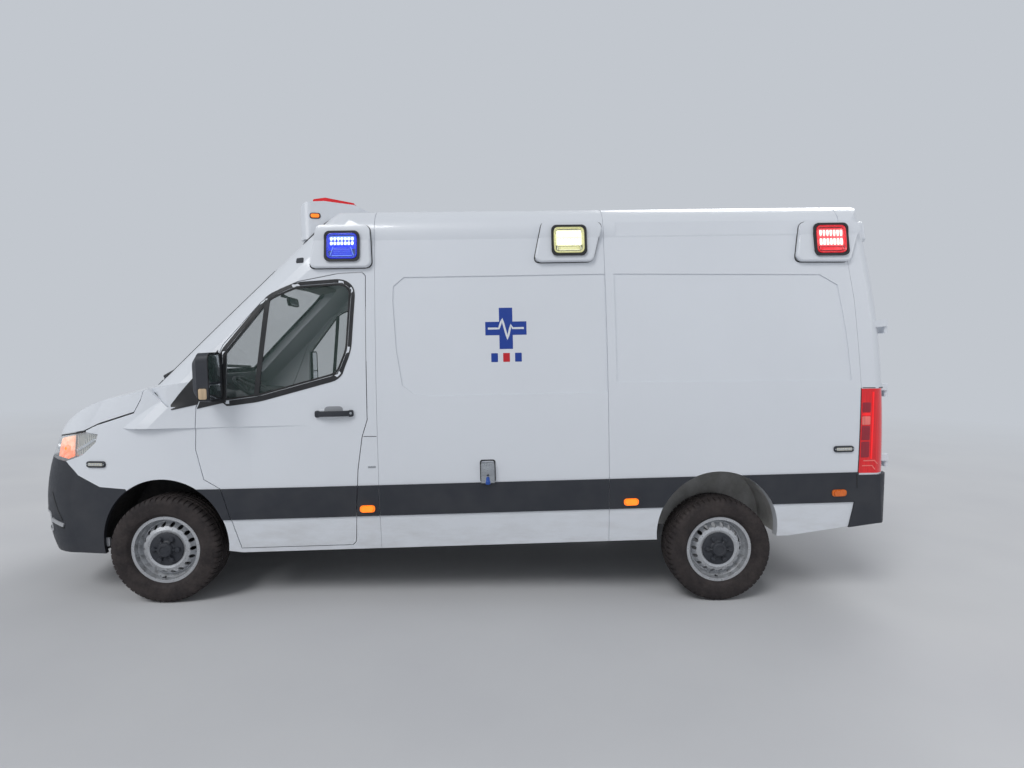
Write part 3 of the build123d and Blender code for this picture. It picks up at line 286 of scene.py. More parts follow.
BRIGHT_RED = lens("bright_red_reflector", srgb(250, 16, 24), srgb(250, 10, 20), 0.4)
DISPLAY = moulded("display_glass", srgb(18, 20, 24), rough=0.08, grain=3000.0, depth=0.01, dusty=0.03)
SEAT_CLOTH = cloth("seat_cloth", srgb(52, 54, 58))
BELT = cloth("belt_webbing", srgb(30, 31, 34), weave=1400.0)

# What each warning lamp's back, its LEDs and its bright edges look like
LAMP_COLOURS = {
    "blue": (srgb(16, 30, 214), srgb(205, 224, 255), srgb(120, 150, 250)),
    "warm": (srgb(214, 212, 150), srgb(255, 252, 226), srgb(240, 240, 204)),
    "red": (srgb(222, 14, 36), srgb(255, 214, 204), srgb(255, 84, 92)),
}
LAMP_LOOKS = {
    name: {
        "glow": lens(f"glow_{name}", back, back, 0.9),
        "field": lens(f"field_{name}", edge, edge, 1.0, rough=0.3),
        "tray": lens(f"tray_{name}", back, back, 0.45, rough=0.3),
        "led": lens(f"led_{name}", led, led, 2.4),
        "glint": lens(f"glint_{name}", edge, edge, 0.55),
        "ring": lens(f"ring_{name}", back, back, 0.28, rough=0.2),
        "cover": glass(f"cover_{name}", edge, 0.14),
    }
    for name, (back, led, edge) in LAMP_COLOURS.items()
}
SLOT_MATERIALS = {
    "white_paint": WHITE, "black_plastic": BLACK, "grille_plastic": SATIN, "clear_lens": CLEAR,
    "window_glass": WINDOW, "privacy_glass": DARK_GLASS, "red_lens": RED, "interior_plastic": TRIM,
    "seat_cloth": SEAT_CLOTH, "floor_vinyl": VINYL, "chassis_metal": CHASSIS, "cast_metal": CAST,
    "wheel_silver": SILVER, "tyre_rubber": RUBBER, "lamp_black": SATIN, "amber_lens": AMBER,
    "liner_plastic": LINER, "inlet_metal": STEEL,
}
NODE_MATERIALS = {"marker_lamps": markers_lit_ahead(), "wheel_housings": arch_liners()}


def dress_nodes():
    """Every carried-over piece gets the material of its slot, or its own."""
    for subpart in frame["record"]["subparts"]:
        for slot in NODES[subpart["node"]].material_slots:
            slot.link = "OBJECT"
            slot.material = NODE_MATERIALS.get(subpart["node"], SLOT_MATERIALS[subpart["material_slot"]])


# Outlines, as closed rows of (u, v) points

SHARPEST_MITRE = 0.4


def inset(outline, amount):
    """The outline moved inwards by amount, or outwards where it is negative."""
    ahead = outline[1:] + outline[:1]
    turn = math.copysign(1.0, sum(a[0] * b[1] - b[0] * a[1] for a, b in zip(outline, ahead)))
    moved = []
    for before, here, after in zip(outline[-1:] + outline[:-1], outline, ahead):
        first = (Vector(here) - Vector(before)).normalized()
        second = (Vector(after) - Vector(here)).normalized()
        normal = Vector((-first.y - second.y, first.x + second.x)).normalized()
        reach = turn * amount / max(SHARPEST_MITRE, normal.dot(Vector((-first.y, first.x))))
        moved.append((here[0] + normal.x * reach, here[1] + normal.y * reach))
    return moved


def rounded(points, radius, steps=5):
    """The outline with its corners rounded."""
    points = [Vector(p) for p in points]
    smooth = []
    for before, here, after in zip(points[-1:] + points[:-1], points, points[1:] + points[:1]):
        start = here + (before - here) * min(0.45, radius / (before - here).length)
        end = here + (after - here) * min(0.45, radius / (after - here).length)
        for i in range(steps + 1):
            t = i / steps
            smooth.append(tuple(start * (1 - t) ** 2 + here * 2 * t * (1 - t) + end * t * t))
    return smooth


def finer(points, step, closed=True):
    """The outline with more points on its long runs, so that it follows a curved surface."""
    result = []
    for here, there in zip(points, points[1:] + points[:1] if closed else points[1:]):
        count = max(1, math.ceil(math.dist(here, there) / step))
        result += [tuple(a + (b - a) * i / count for a, b in zip(here, there)) for i in range(count)]
    return result if closed else result + [points[-1]]


def crossings(outline, level, axis):
    """Where the outline's sides cross a level of u (axis 0) or of v (axis 1), in order."""
    other = 1 - axis
    return sorted(a[other] + (b[other] - a[other]) * (level - a[axis]) / (b[axis] - a[axis])
                  for a, b in zip(outline, outline[1:] + outline[:1])
                  if (a[axis] - level) * (b[axis] - level) < 0)


def rectangle(width, height, radius=0, centre=(0, 0)):
    u, v = centre
    corners = [(u - width / 2, v - height / 2), (u + width / 2, v - height / 2),
               (u + width / 2, v + height / 2), (u - width / 2, v + height / 2)]
    return rounded(corners, radius) if radius else corners


def circle(radius, count=24, centre=(0, 0)):
    angles = (2 * math.pi * i / count for i in range(count))
    return [(centre[0] + radius * math.cos(a), centre[1] + radius * math.sin(a)) for a in angles]


# Seats: place(u, v, lift) is a point that stands lift off a surface

VIEWS = {
    "left": (lambda u, v: (u, 3000, v), (0, -1, 0)),
    "right": (lambda u, v: (u, -3000, v), (0, 1, 0)),
    "front": (lambda u, v: (3000, u, v), (-1, 0, 0)),
    "back": (lambda u, v: (-7000, u, v), (1, 0, 0)),
    "above": (lambda u, v: (u, v, 4000), (0, 0, -1)),
    "inner_left": (lambda u, v: (u, 0, v), (0, 1, 0)),
    "inner_right": (lambda u, v: (u, 0, v), (0, -1, 0)),
    "inner_roof": (lambda u, v: (u, v, 1500), (0, 0, 1)),
}
PROBE = 7
SEAM_DEPTH = 2.5


def caster(*names):
    """What rays hit: the named carried-over pieces, in the level frame."""
    points, faces = [], []
    for name in names:
        node = NODES[name]
        start = len(points)
        points += [TO_LEVEL @ node.matrix_world @ v.co for v in node.data.vertices]
        faces += [[start + i for i in face.vertices] for face in node.data.polygons]
    return BVHTree.FromPolygons(points, faces)


def on(tree, view, centre=(0, 0)):
    """A seat on the surface that is seen from a side.
    Where a ray drops into a seam, its neighbours give the surface."""
    start, direction = VIEWS[view][0], Vector(VIEWS[view][1])

    def place(u, v, lift=0):
        u, v = u + centre[0], v + centre[1]
        hits = []
        for du, dv in ((0, 0), (PROBE, 0), (-PROBE, 0), (0, PROBE), (0, -PROBE)):
            point, normal, index, distance = tree.ray_cast(Vector(start(u + du, v + dv)), direction)
            if point is not None:
                hits.append((distance, normal if normal.dot(direction) < 0 else -normal))
        if not hits:
            raise ValueError(f"nothing is seen from {view} at {u:.1f}, {v:.1f}")
        middle = sorted(hit[0] for hit in hits)[len(hits) // 2]
        depth, normal = hits[0]
        if abs(depth - middle) > SEAM_DEPTH:
            depth, normal = min(hits, key=lambda hit: abs(hit[0] - middle))
        return Vector(start(u, v)) + direction * depth + normal * lift
    return place


def flat(origin, across, up):
    """A flat seat."""
    origin, across, up = Vector(origin), Vector(across).normalized(), Vector(up).normalized()
    out = across.cross(up).normalized()
    return lambda u, v, lift=0: origin + across * u + up * v + out * lift


# Pieces

def ring(centre, across, other, radius, count):
    return [centre + across * u + other * v for u, v in circle(radius, count)]


def aside(direction):
    """An axis that doesn't run along the direction."""
    return Vector((0, 0, 1)) if abs(direction.z) < 0.9 else Vector((1, 0, 0))


class Piece:
    """Closed forms on a seat, gathered in the level frame and made into one object.
    Forms start at low, just under the seat's surface, and end at high above it."""

    def __init__(self, name, place=None, body="root", slot="black_plastic"):
        self.name, self.place, self.body, self.slot = name, place, body, slot
        self.mesh = bmesh.new()
        self.materials = []

    def at(self, place):
        self.place = place
        return self

    def skin(self, faces, material):
        if material not in self.materials:
            self.materials.append(material)
        for face in faces:
            self.mesh.faces.new(face).material_index = self.materials.index(material)
        return self

    def loft(self, loops, material, closed=False):
        """A skin over loops with the same number of points, capped unless it closes on itself."""
        rows = [[self.mesh.verts.new(point) for point in loop] for loop in loops]
        faces = []
        for low, high in zip(rows, rows[1:] + (rows[:1] if closed else [])):
            for i, j in zip(range(len(low)), [*range(1, len(low)), 0]):
                faces.append((low[i], low[j], high[j], high[i]))
        return self.skin(faces + ([] if closed else [rows[0][::-1], rows[-1]]), material)

    def block(self, outline, high, material, edge=0, low=-1, steps=3):
        """A plate or block with its outer rim rounded by edge."""
        loops = [[self.place(u, v, low) for u, v in outline]]
        for turn in [math.pi / 2 * i / steps for i in range(steps + 1)] if edge else [math.pi / 2]:
            rim = inset(outline, edge * (1 - math.cos(turn)))
            loops.append([self.place(u, v, high - edge * (1 - math.sin(turn))) for u, v in rim])
        return self.loft(loops, material)

    def band(self, outer, inner, high, material, low=-1):
        """A ring between two outlines."""
        sides = ((outer, low), (outer, high), (inner, high), (inner, low))
        loops = [[self.place(u, v, lift) for u, v in side] for side, lift in sides]
        return self.loft(loops, material, closed=True)

    def sheet(self, outline, high, material, rows=8, columns=6, low=-1):
        """A plate that follows a curved surface over a wide outline."""
        bottom, top = min(v for u, v in outline), max(v for u, v in outline)
        levels = [bottom + (top - bottom) * i / rows for i in range(rows + 1)]
        levels[0] += 0.1
        levels[-1] -= 0.1
        grid = []
        for v in levels:
            cuts = crossings(outline, v, 1)
            grid.append([(cuts[0] + (cuts[-1] - cuts[0]) * j / columns, v) for j in range(columns + 1)])
        under, over = ([[self.mesh.verts.new(self.place(u, v, lift)) for u, v in row] for row in grid]
                       for lift in (low, high))
        faces = []
        for i in range(rows):
            for j in range(columns):
                for side in (under, over):
                    faces.append((side[i][j], side[i][j + 1], side[i + 1][j + 1], side[i + 1][j]))
        rim = ([(0, j) for j in range(columns)] + [(i, columns) for i in range(rows)]
               + [(rows, j) for j in range(columns, 0, -1)] + [(i, 0) for i in range(rows, 0, -1)])
        for (i, j), (k, m) in zip(rim, rim[1:] + rim[:1]):
            faces.append((under[i][j], under[k][m], over[k][m], over[i][j]))
        return self.skin(faces, material)

    def stripe(self, points, width, high, material, low=-1, step=50):
        """A flat strip along a line of (u, v) points."""
        points = finer(points, step, closed=False)
        loops = []
        for before, here, after in zip(points[:1] + points, points, points[1:] + points[-1:]):
            along = Vector((after[0] - before[0], after[1] - before[1])).normalized()
            u, v = -along.y * width / 2, along.x * width / 2
            loops.append([self.place(here[0] + way * u, here[1] + way * v, lift)
                          for way, lift in ((1, low), (1, high), (-1, high), (-1, low))])
        return self.loft(loops, material)

    def tube(self, points, radius, material, count=10):
        """A round bar along a line of points. The radius is one number or one for each point."""
        points = [Vector(p) for p in points]
        radii = radius if isinstance(radius, list) else [radius] * len(points)
        loops, across = [], None
        for before, here, after, size in zip(points[:1] + points, points, points[1:] + points[-1:], radii):
            along = (after - before).normalized()
            guide = aside(along) if across is None else across
            across = (guide - along * guide.dot(along)).normalized()
            loops.append(ring(here, across, along.cross(across), size, count))
        return self.loft(loops, material)

    def turned(self, centre, axis, profile, material, count=32):
        """A form turned about an axis, from (distance along it, radius) points."""
        axis = Vector(axis).normalized()
        across = axis.cross(aside(axis)).normalized()
        loops = [ring(Vector(centre) + axis * along, across, axis.cross(across), radius, count)
                 for along, radius in profile]
        return self.loft(loops, material)

    def made(self, matrix=LEVEL, sharp=0.55):
        """The object, with smooth faces and sharp edges, riding on its body."""
        bmesh.ops.recalc_face_normals(self.mesh, faces=self.mesh.faces)
        for face in self.mesh.faces:
            face.smooth = True
        for edge in self.mesh.edges:
            edge.smooth = edge.calc_face_angle(0.0) < sharp
        self.mesh.transform(matrix)
        mesh = bpy.data.meshes.new(self.name)
        self.mesh.to_mesh(mesh)
        self.mesh.free()
        for material in self.materials:
            mesh.materials.append(material)
        thing = bpy.data.objects.new(self.name, mesh)
        bpy.context.scene.collection.objects.link(thing)
        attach(thing, self.body)
        return thing


# Surfaces that the pieces are seated on

HUNG = ("front_door", "door_glass", "rear_door", "rear_glass")
PANELS = [
    "bonnet", "wings", "front_bumper", "headlamps", "grille", "cab_frame", "windscreen", "side_left",
    "side_right", "sliding_door", "sliding_door_glass", "rear_frame", "tail_lamps", "rear_bumper", "roof",
]
PANELS += [f"{part}_{side}" for side, sign in SIDES for part in HUNG]
STRIPS = ["rub_strips", "door_strip_left", "door_strip_right"]
BARE = caster(*PANELS)
ALL_PANELS = caster(*PANELS, *STRIPS)
OUTSIDE = caster(*PANELS, *STRIPS, "lamp_pods", "power_inlet", "roof_fairing")
SCREEN = caster("windscreen", "cab_frame", "roof")
INSIDE = caster("front_door_left", "front_door_right")
UPRIGHT = (0, 0, 1)

# Windows, with outlines as (X, Z) or (Y, Z)

DOOR_WINDOW = [(-432, 1318), (-442, 1620), (-732, 1975), (-911, 2050), (-1204, 2068), (-1262, 2022),
               (-1232, 1629), (-1169, 1475), (-660, 1345)]
SLIDER_WINDOW = [(-1560, 1380), (-1560, 1990), (-1600, 2040), (-2600, 2040), (-2650, 1990), (-2650, 1380),
                 (-2610, 1340), (-1600, 1340)]
REAR_WINDOW = [(110, 1400), (740, 1400), (770, 1440), (735, 2040), (690, 2080), (110, 2080)]
SCREEN_OUTLINE = [(-775, 1452), (775, 1452), (742, 1700), (700, 2110), (655, 2185), (-655, 2185),
                  (-700, 2110), (-742, 1700)]
# The black corner ahead of the door window lies partly on the body and partly on the door
CORNER_ON_BODY = [(-83, 1279), (-110, 1268), (-262, 1270), (-420.5, 1640), (-407, 1645), (-264, 1486)]
CORNER_ON_DOOR = [(-272.5, 1272), (-455, 1300), (-462, 1630), (-432.5, 1645)]


def door_windows(side, sign):
    view, door = on(BARE, side), f"front_door_{side}"
    opening = finer(rounded(DOOR_WINDOW, 50), 60)
    rim = [(u, v - 12 if v < 1500 and u < -450 else v) for u, v in inset(opening, -26)]
    piece = Piece(f"door_window_frame_{side}", view, door)
    piece.band(rim, inset(opening, -2), 2.2, SATIN, -1.5)
    piece.band(inset(opening, 1.5), inset(opening, 13), 6.2, SEAL)
    piece.stripe([(-648, 1352), (-724, 1960)], 30, 6.6, SATIN).made()
    Piece(f"corner_trim_{side}", view).sheet(CORNER_ON_BODY, 3.5, SATIN, 12, 3).made()
    Piece(f"door_corner_trim_{side}", view, door).sheet(CORNER_ON_DOOR, 3.5, SATIN, 10, 3).made()


def glazing(name, view, outline, step, seal, border, body="root", low=-1, high=6):
    """A rubber seal round a window's opening and the black border inside it."""
    opening = finer(outline, step)
    piece = Piece(name, view, body).band(inset(opening, -seal), inset(opening, -2), 3, SEAL)
    return piece.band(inset(opening, 1.5), inset(opening, border), high, FRIT, low)


def rear_windows(side, sign):
    outline = [(sign * u, v) for u, v in rounded(REAR_WINDOW, 45)]
    glazing(f"rear_window_seal_{side}", on(BARE, "back"), outline, 80, 20, 30, f"rear_door_{side}").made()


def middle_windows():
    slider = glazing("sliding_window_seal", on(BARE, "right"), rounded(SLIDER_WINDOW, 50), 80, 18, 28)
    slider.stripe([(-2105, 1352), (-2105, 2028)], 24, 6.4, SATIN).made()
    screen = rounded(SCREEN_OUTLINE, 50)
    glazing("windscreen_seal", on(SCREEN, "front"), screen, 70, 14, 42, low=-0.5, high=1.4).made()


# Handles and small fittings of the panels

# How far along a grip each station is, and how far it stands off, as shares
GRIP_RISE = ((0, 0.004), (0.05, 0.55), (0.13, 0.9), (0.3, 1), (0.7, 1), (0.87, 0.9), (0.95, 0.55), (1, 0.004))


def grip(piece, start, end, height, stand, material):
    """A bar that stands off a panel between two feet."""
    stations = []
    for along, rise in GRIP_RISE:
        slim = 0.82 if along in (0, 1) else 1
        u = start + (end - start) * along
        stations.append([piece.place(u, a * slim, stand * rise + b * (0.25 + 0.75 * rise))
                         for a, b in rectangle(height, 16, 6)])
    piece.loft(stations, material)


def pull_handle(name, view, body):
    piece = Piece(name, view, body)
    piece.block(rectangle(205, 60, 29), 2.2, WHITE, 2)
    # The bowl behind the grip: a grey plate of painted shade that gives it a sunken look
    piece.block(rectangle(120, 66, 30, (0, 14)), 3, SHADED_BOWL, 0.6, 0)
    grip(piece, -116, 108, 36, 32, BLACK)
    for end in (-110, 102):
        piece.block(rectangle(34, 44, 14, (end, -1)), 20, BLACK, 6)
    piece.block(circle(8.5, 18, (-112, 0)), 22.5, STEEL, 1.5, 18).made()


def door_fittings(side, sign):
    """The front door's handle, and the keeper strap low on the rear door."""
    pull_handle(f"door_handle_{side}", on(BARE, side, (-1138, 1222)), f"front_door_{side}")
    piece = Piece(f"rear_door_catch_{side}", on(BARE, "back", (sign * 620, 930)), f"rear_door_{side}")
    piece.block(rectangle(75, 45, 10), 6, BLACK, 3).block(rectangle(30, 22, 6), 16, BLACK, 4, 5).made()


def middle_handles():
    pull_handle("sliding_door_handle", on(BARE, "right", (-1600, 1215)), "root")
    piece = Piece("rear_door_handle", on(BARE, "back", (-115, 1245)), "rear_door_right")
    piece.block(rectangle(170, 85, 20), 4, BLACK, 3)
    piece.block(rectangle(135, 50, 20, (0, -4)), 5.5, SHADED_BOWL, 1, 3)
    piece.block(rectangle(125, 26, 12, (0, 12)), 22, BLACK, 5, 4)
    piece.block(circle(10, 18, (62, -22)), 8, STEEL, 1.5, 4).made()


def strobes_and_markers(side, sign):
    for end, centre in (("front", (439, 913)), ("rear", (-4503, 907))):
        piece = Piece(f"strobe_{end}_{side}", on(BARE, side, centre), slot="lamp_black")
        piece.block(rectangle(136, 42, 20.5), 11, BLACK, 4).block(rectangle(104, 19, 4), 12.5, PEARL, 1, 10)
        for i in range(6):
            piece.block(circle(6.2, 12, (17 * i - 42.5, 0)), 13.8, CHROME, 1, 12)
        for u in (-59, 59):
            piece.block(circle(4.5, 10, (u, 0)), 12.5, STEEL, 1, 10)
        piece.made()
    for i, centre in enumerate(((-1335, 593), (-3070, 589), (-4477, 610))):
        piece = Piece(f"marker_rim_{i}_{side}", on(ALL_PANELS, side, centre), slot="amber_lens")
        piece.band(rectangle(98, 46, 22.5), rectangle(77, 39, 19), 7, AMBER_LIT if i < 2 else AMBER).made()


def filler_panel():
    piece = Piece("filler_panel_line", on(BARE, "left"), slot="white_paint")
    piece.stripe([(-1323.5, 1069), (-1407.5, 1067)], 4, 0.6, GAP)
    piece.block(rectangle(50, 14, 3, (-1372, 868)), 1.5, STEEL, 0.8).made()


INLET_X = -2124
INLET_SOCKET = [(0, 13), (6, 17), (30, 17.5), (33, 19.5), (41, 19.5), (43, 17), (52, 16.5), (53, 12)]


def inlet():
    """Silver lid with its hinge over a blue socket."""
    view = on(OUTSIDE, "left", (INLET_X, 0))
    piece = Piece("inlet_lid", view, slot="inlet_metal")
    piece.block(rectangle(80, 78, 10, (0, 835)), 4, STEEL, 3)
    piece.block(rectangle(52, 40, 8, (0, 832)), 5.5, STEEL, 1.5, 3)
    piece.tube([view(-34, 872, 4), view(34, 872, 4)], 4.5, STEEL, 12)
    piece.block(rectangle(16, 10, 3, (0, 800)), 10, BLACK, 2, 3).made()
    piece = Piece("inlet_socket", slot="inlet_metal")
    piece.turned(view(0, 790, -13), (0, 0, -1), INLET_SOCKET, BLUE, 24).made()
    piece = Piece("inlet_gasket", on(BARE, "left", (INLET_X, 822)))
    piece.band(rectangle(102, 150, 20), rectangle(86, 134, 14), 2.5, SEAL).made()


CROSS_ARM, CROSS_REACH = 44, 135
PULSE = [(118, 0), (46, 0), (24, 62), (-10, -70), (-32, 22), (-44, 0), (-118, 0)]


def emblem():
    """A plain blue cross with a white pulse line, and three small bars under it, on the left side."""
    piece = Piece("cross_mark_left", on(BARE, "left", (-2262, 1752)), slot="white_paint")
    piece.sheet(rectangle(2 * CROSS_ARM, 2 * CROSS_REACH), 0.7, EMBLEM, 8, 3, -0.5)
    for way in (-1, 1):
        middle = (way * (CROSS_REACH + CROSS_ARM) / 2, 0)
        piece.sheet(rectangle(CROSS_REACH - CROSS_ARM, 2 * CROSS_ARM, 0, middle), 0.7, EMBLEM, 3, 4, -0.5)
    piece.stripe(PULSE, 13, 1.4, WHITE, 0.4, 30)
    for u, material in ((-78, EMBLEM), (0, EMBLEM_RED), (78, EMBLEM)):
        piece.block(rectangle(44, 58, 4, (u, -190)), 0.7, material, 0, -0.5)
    piece.made()


# Lamps

# Middle and size of each side lamp's lens, and what colour it shines
SIDE_LAMPS = (
    ("front", (-1209.5, 2303), (196, 169), "blue"),
    ("middle", (-2689.5, 2323.5), (202, 172), "warm"),
    ("rear", (-4448, 2308.5), (203, 188), "red"),
)
BACK_LAMP = (133.4, 81.4)
# Bottom and top of the lit field and the top of the tray, as shares of the height
LAMP_LAYOUTS = {"blue": (0.02, 0.36, -0.04), "warm": (-0.20, 0.37, -0.24), "red": (-0.24, 0.36, -0.28)}
LED_FILL = 0.8
POD_OUTLINES = (
    [(-1044, 2448), (-1384, 2444), (-1397, 2163), (-989, 2162)],
    [(-2516, 2458), (-2919, 2447), (-2847, 2182), (-2454, 2181)],
    [(-4257, 2432), (-4673, 2427), (-4577, 2158), (-4206, 2163)],
)
FAIRING_PLAN = [(-822, 0), (-824.5, 150), (-830, 320), (-839, 440), (-852, 545), (-872, 595), (-903, 626),
                (-940, 640), (-1100, 615.5), (-1260, 590), (-1350, 565.5)]


def led_rows(piece, area, rows, columns, base, material):
    """Rows of small domed LEDs inside the area (left, right, bottom, top)."""
    left, right, bottom, top = area
    across, up = (right - left) / columns, (top - bottom) / rows
    for i in range(columns):
        for j in range(rows):
            middle = (left + across * (i + 0.5), bottom + up * (j + 0.5))
            shape = rectangle(across * LED_FILL, up * LED_FILL, min(across, up) * 0.36, middle)
            piece.block(shape, base + 3.5, material, 2.4, base, steps=2)


def lamp(name, view, size, colour):
    """A lens in its bezel: lit LEDs over a reflector tray inside a sloping ring, under a clear cover."""
    width, height = size
    low, high, tray_top = (height * share for share in LAMP_LAYOUTS[colour])
    look = LAMP_LOOKS[colour]
    shape = rectangle(width - 1, height - 1, min(width, height) * 0.21)
    inner = inset(shape, 12.5)
    piece = Piece(name, view, slot="clear_lens").block(shape, 2.5, look["glow"], 0, 1)
    rings = ((shape, 2), (shape, 11.8), (inset(shape, 2.8), 12.6), (inset(shape, 5), 11.2), (inner, 5),
             (inner, 2))
    loops = [[view(u, v, lift) for u, v in outline] for outline, lift in rings]
    piece.loft(loops, look["ring"], closed=True)
    piece.block(rectangle(width * 0.83, high - low + 6, 12, (0, (low + high) / 2)), 4.4, look["field"], 1, 2)
    led_rows(piece, (-width * 0.4, width * 0.4, low, high), 2, 7, 4, look["led"])
    bottom = -height * 0.385
    lip = 0.26 if tray_top - bottom > 40 else 0.34
    tray = [(-width * 0.36, bottom), (width * 0.36, bottom),
            (width * lip, tray_top), (-width * lip, tray_top)]
    piece.block(tray, 4.6, look["tray"], 1, 2)
    for way in (-width, width):
        piece.stripe([(way * 0.385, bottom + 1), (way * (lip + 0.03), tray_top)], 5.5, 8.2, look["glint"], 4)
    piece.stripe([(-width * 0.33, bottom + 1), (width * 0.33, bottom + 1)], 6, 7.8, look["glint"], 4)
    for share in (0.3, 0.52, 0.74):
        v = bottom + (tray_top - bottom) * share
        piece.stripe([(-width * 0.27, v), (width * 0.27, v)], 1.4, 5.4, look["glint"], 4.4)
    return piece.block(inset(shape, 3.5), 13.6, look["cover"], 1, 12).made()


def side_lamps(side, sign):
    for place, centre, size, colour in SIDE_LAMPS:
        made = lamp(f"lamp_{place}_{side}", on(OUTSIDE, side, centre), size, colour)
        if place == "front" and side == "left":
            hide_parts("warning_lenses")
    # The lamps over the rear doors stand on flat seats
    out = Vector((-1, sign * 0.11, 0.142)).normalized()
    across = Vector(UPRIGHT).cross(out).normalized()
    middle = Vector((-4738, sign * 671, 2377)) + out * 30
    lamp(f"lamp_back_{side}", flat(middle, across, out.cross(across)), BACK_LAMP, "red")


def pod_gaskets(side, sign):
    piece = Piece(f"pod_gaskets_{side}", on(BARE, side))
    for outline in POD_OUTLINES:
        shape = finer(rounded(outline, 45), 50)
        piece.band(inset(shape, -4.5), inset(shape, 3), 2.8, SEAL)
    piece.made()


def fairing_seal():
    view = on(BARE, "above", (-2, 4))
    line = [view(u, v, 1) for u, v in finer(FAIRING_PLAN[::-1], 50, closed=False)]
    line += [Vector((p.x, -p.y, p.z)) for p in line[::-1]]
    Piece("fairing_seal").tube(line, 5.5, SEAL, 8).made()


def fairing_lamps(side, sign):
    """The roof fairing's forward lamp and its small side marker."""
    ahead = on(caster("warning_lamps", "roof_fairing"), "front", (sign * 335, 2496))
    piece = Piece(f"fairing_lamp_{side}", ahead, slot="lamp_black")
    piece.block(rectangle(184, 80, 14), 3, LAMP_LOOKS["warm"]["glow"], 1, -2)
    led_rows(piece, (-82.5, 82.5, -30, 30), 2, 8, 2.5, LAMP_LOOKS["warm"]["led"])
    piece.made()
    piece = Piece(f"fairing_marker_{side}", on(OUTSIDE, side, (-969, 2560)), slot="amber_lens")
    piece.block(rectangle(72, 40, 19), 4, SATIN, 2, -2)
    piece.block(rectangle(56, 26, 12.5), 11, AMBER_LIT, 5, 3).made()


REAR_CELL = [(440, 1062), (552, 982), (606, 962), (606, 1110), (535, 1116), (425, 1104)]
FORE_CELL = [(612, 955), (664, 945), (760, 958), (760, 1080), (612, 1104)]


def flutes(piece, outline, count, high, material, low):
    """Upright ridges across a sheet, like the fluted back of a lamp."""
    left, right = min(u for u, v in outline), max(u for u, v in outline)
    pitch = (right - left) / count
    for i in range(count):
        u = left + pitch * (i + 0.5)
        cuts = crossings(outline, u, 0)
        piece.stripe([(u, cuts[0] + 3), (u, cuts[-1] - 3)], pitch * 0.55, high, material, low, 30)


def headlamp(side, sign):
    """Amber corner, bright bowls (the forward one with painted glow), projectors and a black line over a
    headlamp.
    """
    view, front = on(BARE, side), on(BARE, "front")
    piece = Piece(f"headlamp_inside_{side}", view, slot="clear_lens")
    piece.sheet(REAR_CELL, -30, CHROME, 8, 5, -34)
    flutes(piece, REAR_CELL, 12, -26, PEARL, -31)
    piece.stripe([(470, 1075), (600, 1000)], 16, -19, CHROME, -28, 30)
    # The forward bowl and its flutes carry the painted glow of the lit indicator
    piece.sheet(FORE_CELL, -15, GLOWING_BOWL, 8, 5, -20)
    flutes(piece, FORE_CELL, 9, -11.5, GLOWING_BOWL, -16)
    piece.turned(view(668, 1008, -10), (0.3, sign, 0), [(-6, 30), (0, 27), (7, 17), (10, 6)], AMBER_LIT, 24)
    piece.at(front).sheet(rectangle(348, 98, 0, (sign * 626, 1017)), -46, SATIN, 6, 8, -52)
    for y, radius in ((555, 38), (685, 33)):
        seat = front(sign * y, 1016, -40)
        bezel = [(-6, radius + 8), (10, radius + 8), (12, radius + 3), (6, radius)]
        bulb = [(4, radius - 1), (14, radius * 0.86), (21, radius * 0.6), (24, radius * 0.25)]
        piece.turned(seat, (1, 0, 0), bezel, CHROME, 28).turned(seat, (1, 0, 0), bulb, PEARL, 28)
    piece.stripe([(sign * 460, 1060), (sign * 800, 1060)], 12, -14, PEARL, -22).made()
    Piece(f"headlamp_line_{side}", view).stripe([(745, 1092.5), (535, 1123.5)], 8, 1.4, SEAL, -1.5).made()


# Front

WING_TIP = [(426.8, 1108), (423, 1172.5), (516, 1132), (516, 1121.4)]


def wing_tip(side, sign):
    """The tip of the wing, which runs forward between the bonnet and the headlamp."""
    view = on(BARE, side)
    wing, lamp_top, bonnet = view(410, 1145), view(470, 1098), view(560, 1150)
    normal = (lamp_top - wing).cross(bonnet - wing)

    def place(u, v, lift=0):
        y = wing.y - (normal.x * (u - wing.x) + normal.z * (v - wing.z)) / normal.y
        return Vector((u, y + sign * lift, v))
    Piece(f"wing_tip_{side}", place, slot="white_paint").block(WING_TIP, -0.5, WHITE, 1, -4).made()


def plate(name, body, seat):
    """A blank number plate in its black holder."""
    piece = Piece(name, seat, body)
    piece.block(rectangle(540, 128, 10), 3, BLACK, 2, -30).block(rectangle(520, 110, 8), 4.5, PLATE, 0.8, 2)
    for u in (-200, 200):
        piece.block(circle(5, 12, (u, 0)), 6.5, STEEL, 1, 4)
    piece.made()


def sensors(end, view, side, places, z):
    """Parking sensors across a bumper. A place is (distance from the middle, Y)."""
    for away, y in places:
        piece = Piece(f"{end}_sensor_{side}_{away // 10}", on(BARE, view, (y, z)))
        piece.block(circle(11.5, 18), 1.5, SATIN, 0.8).made()


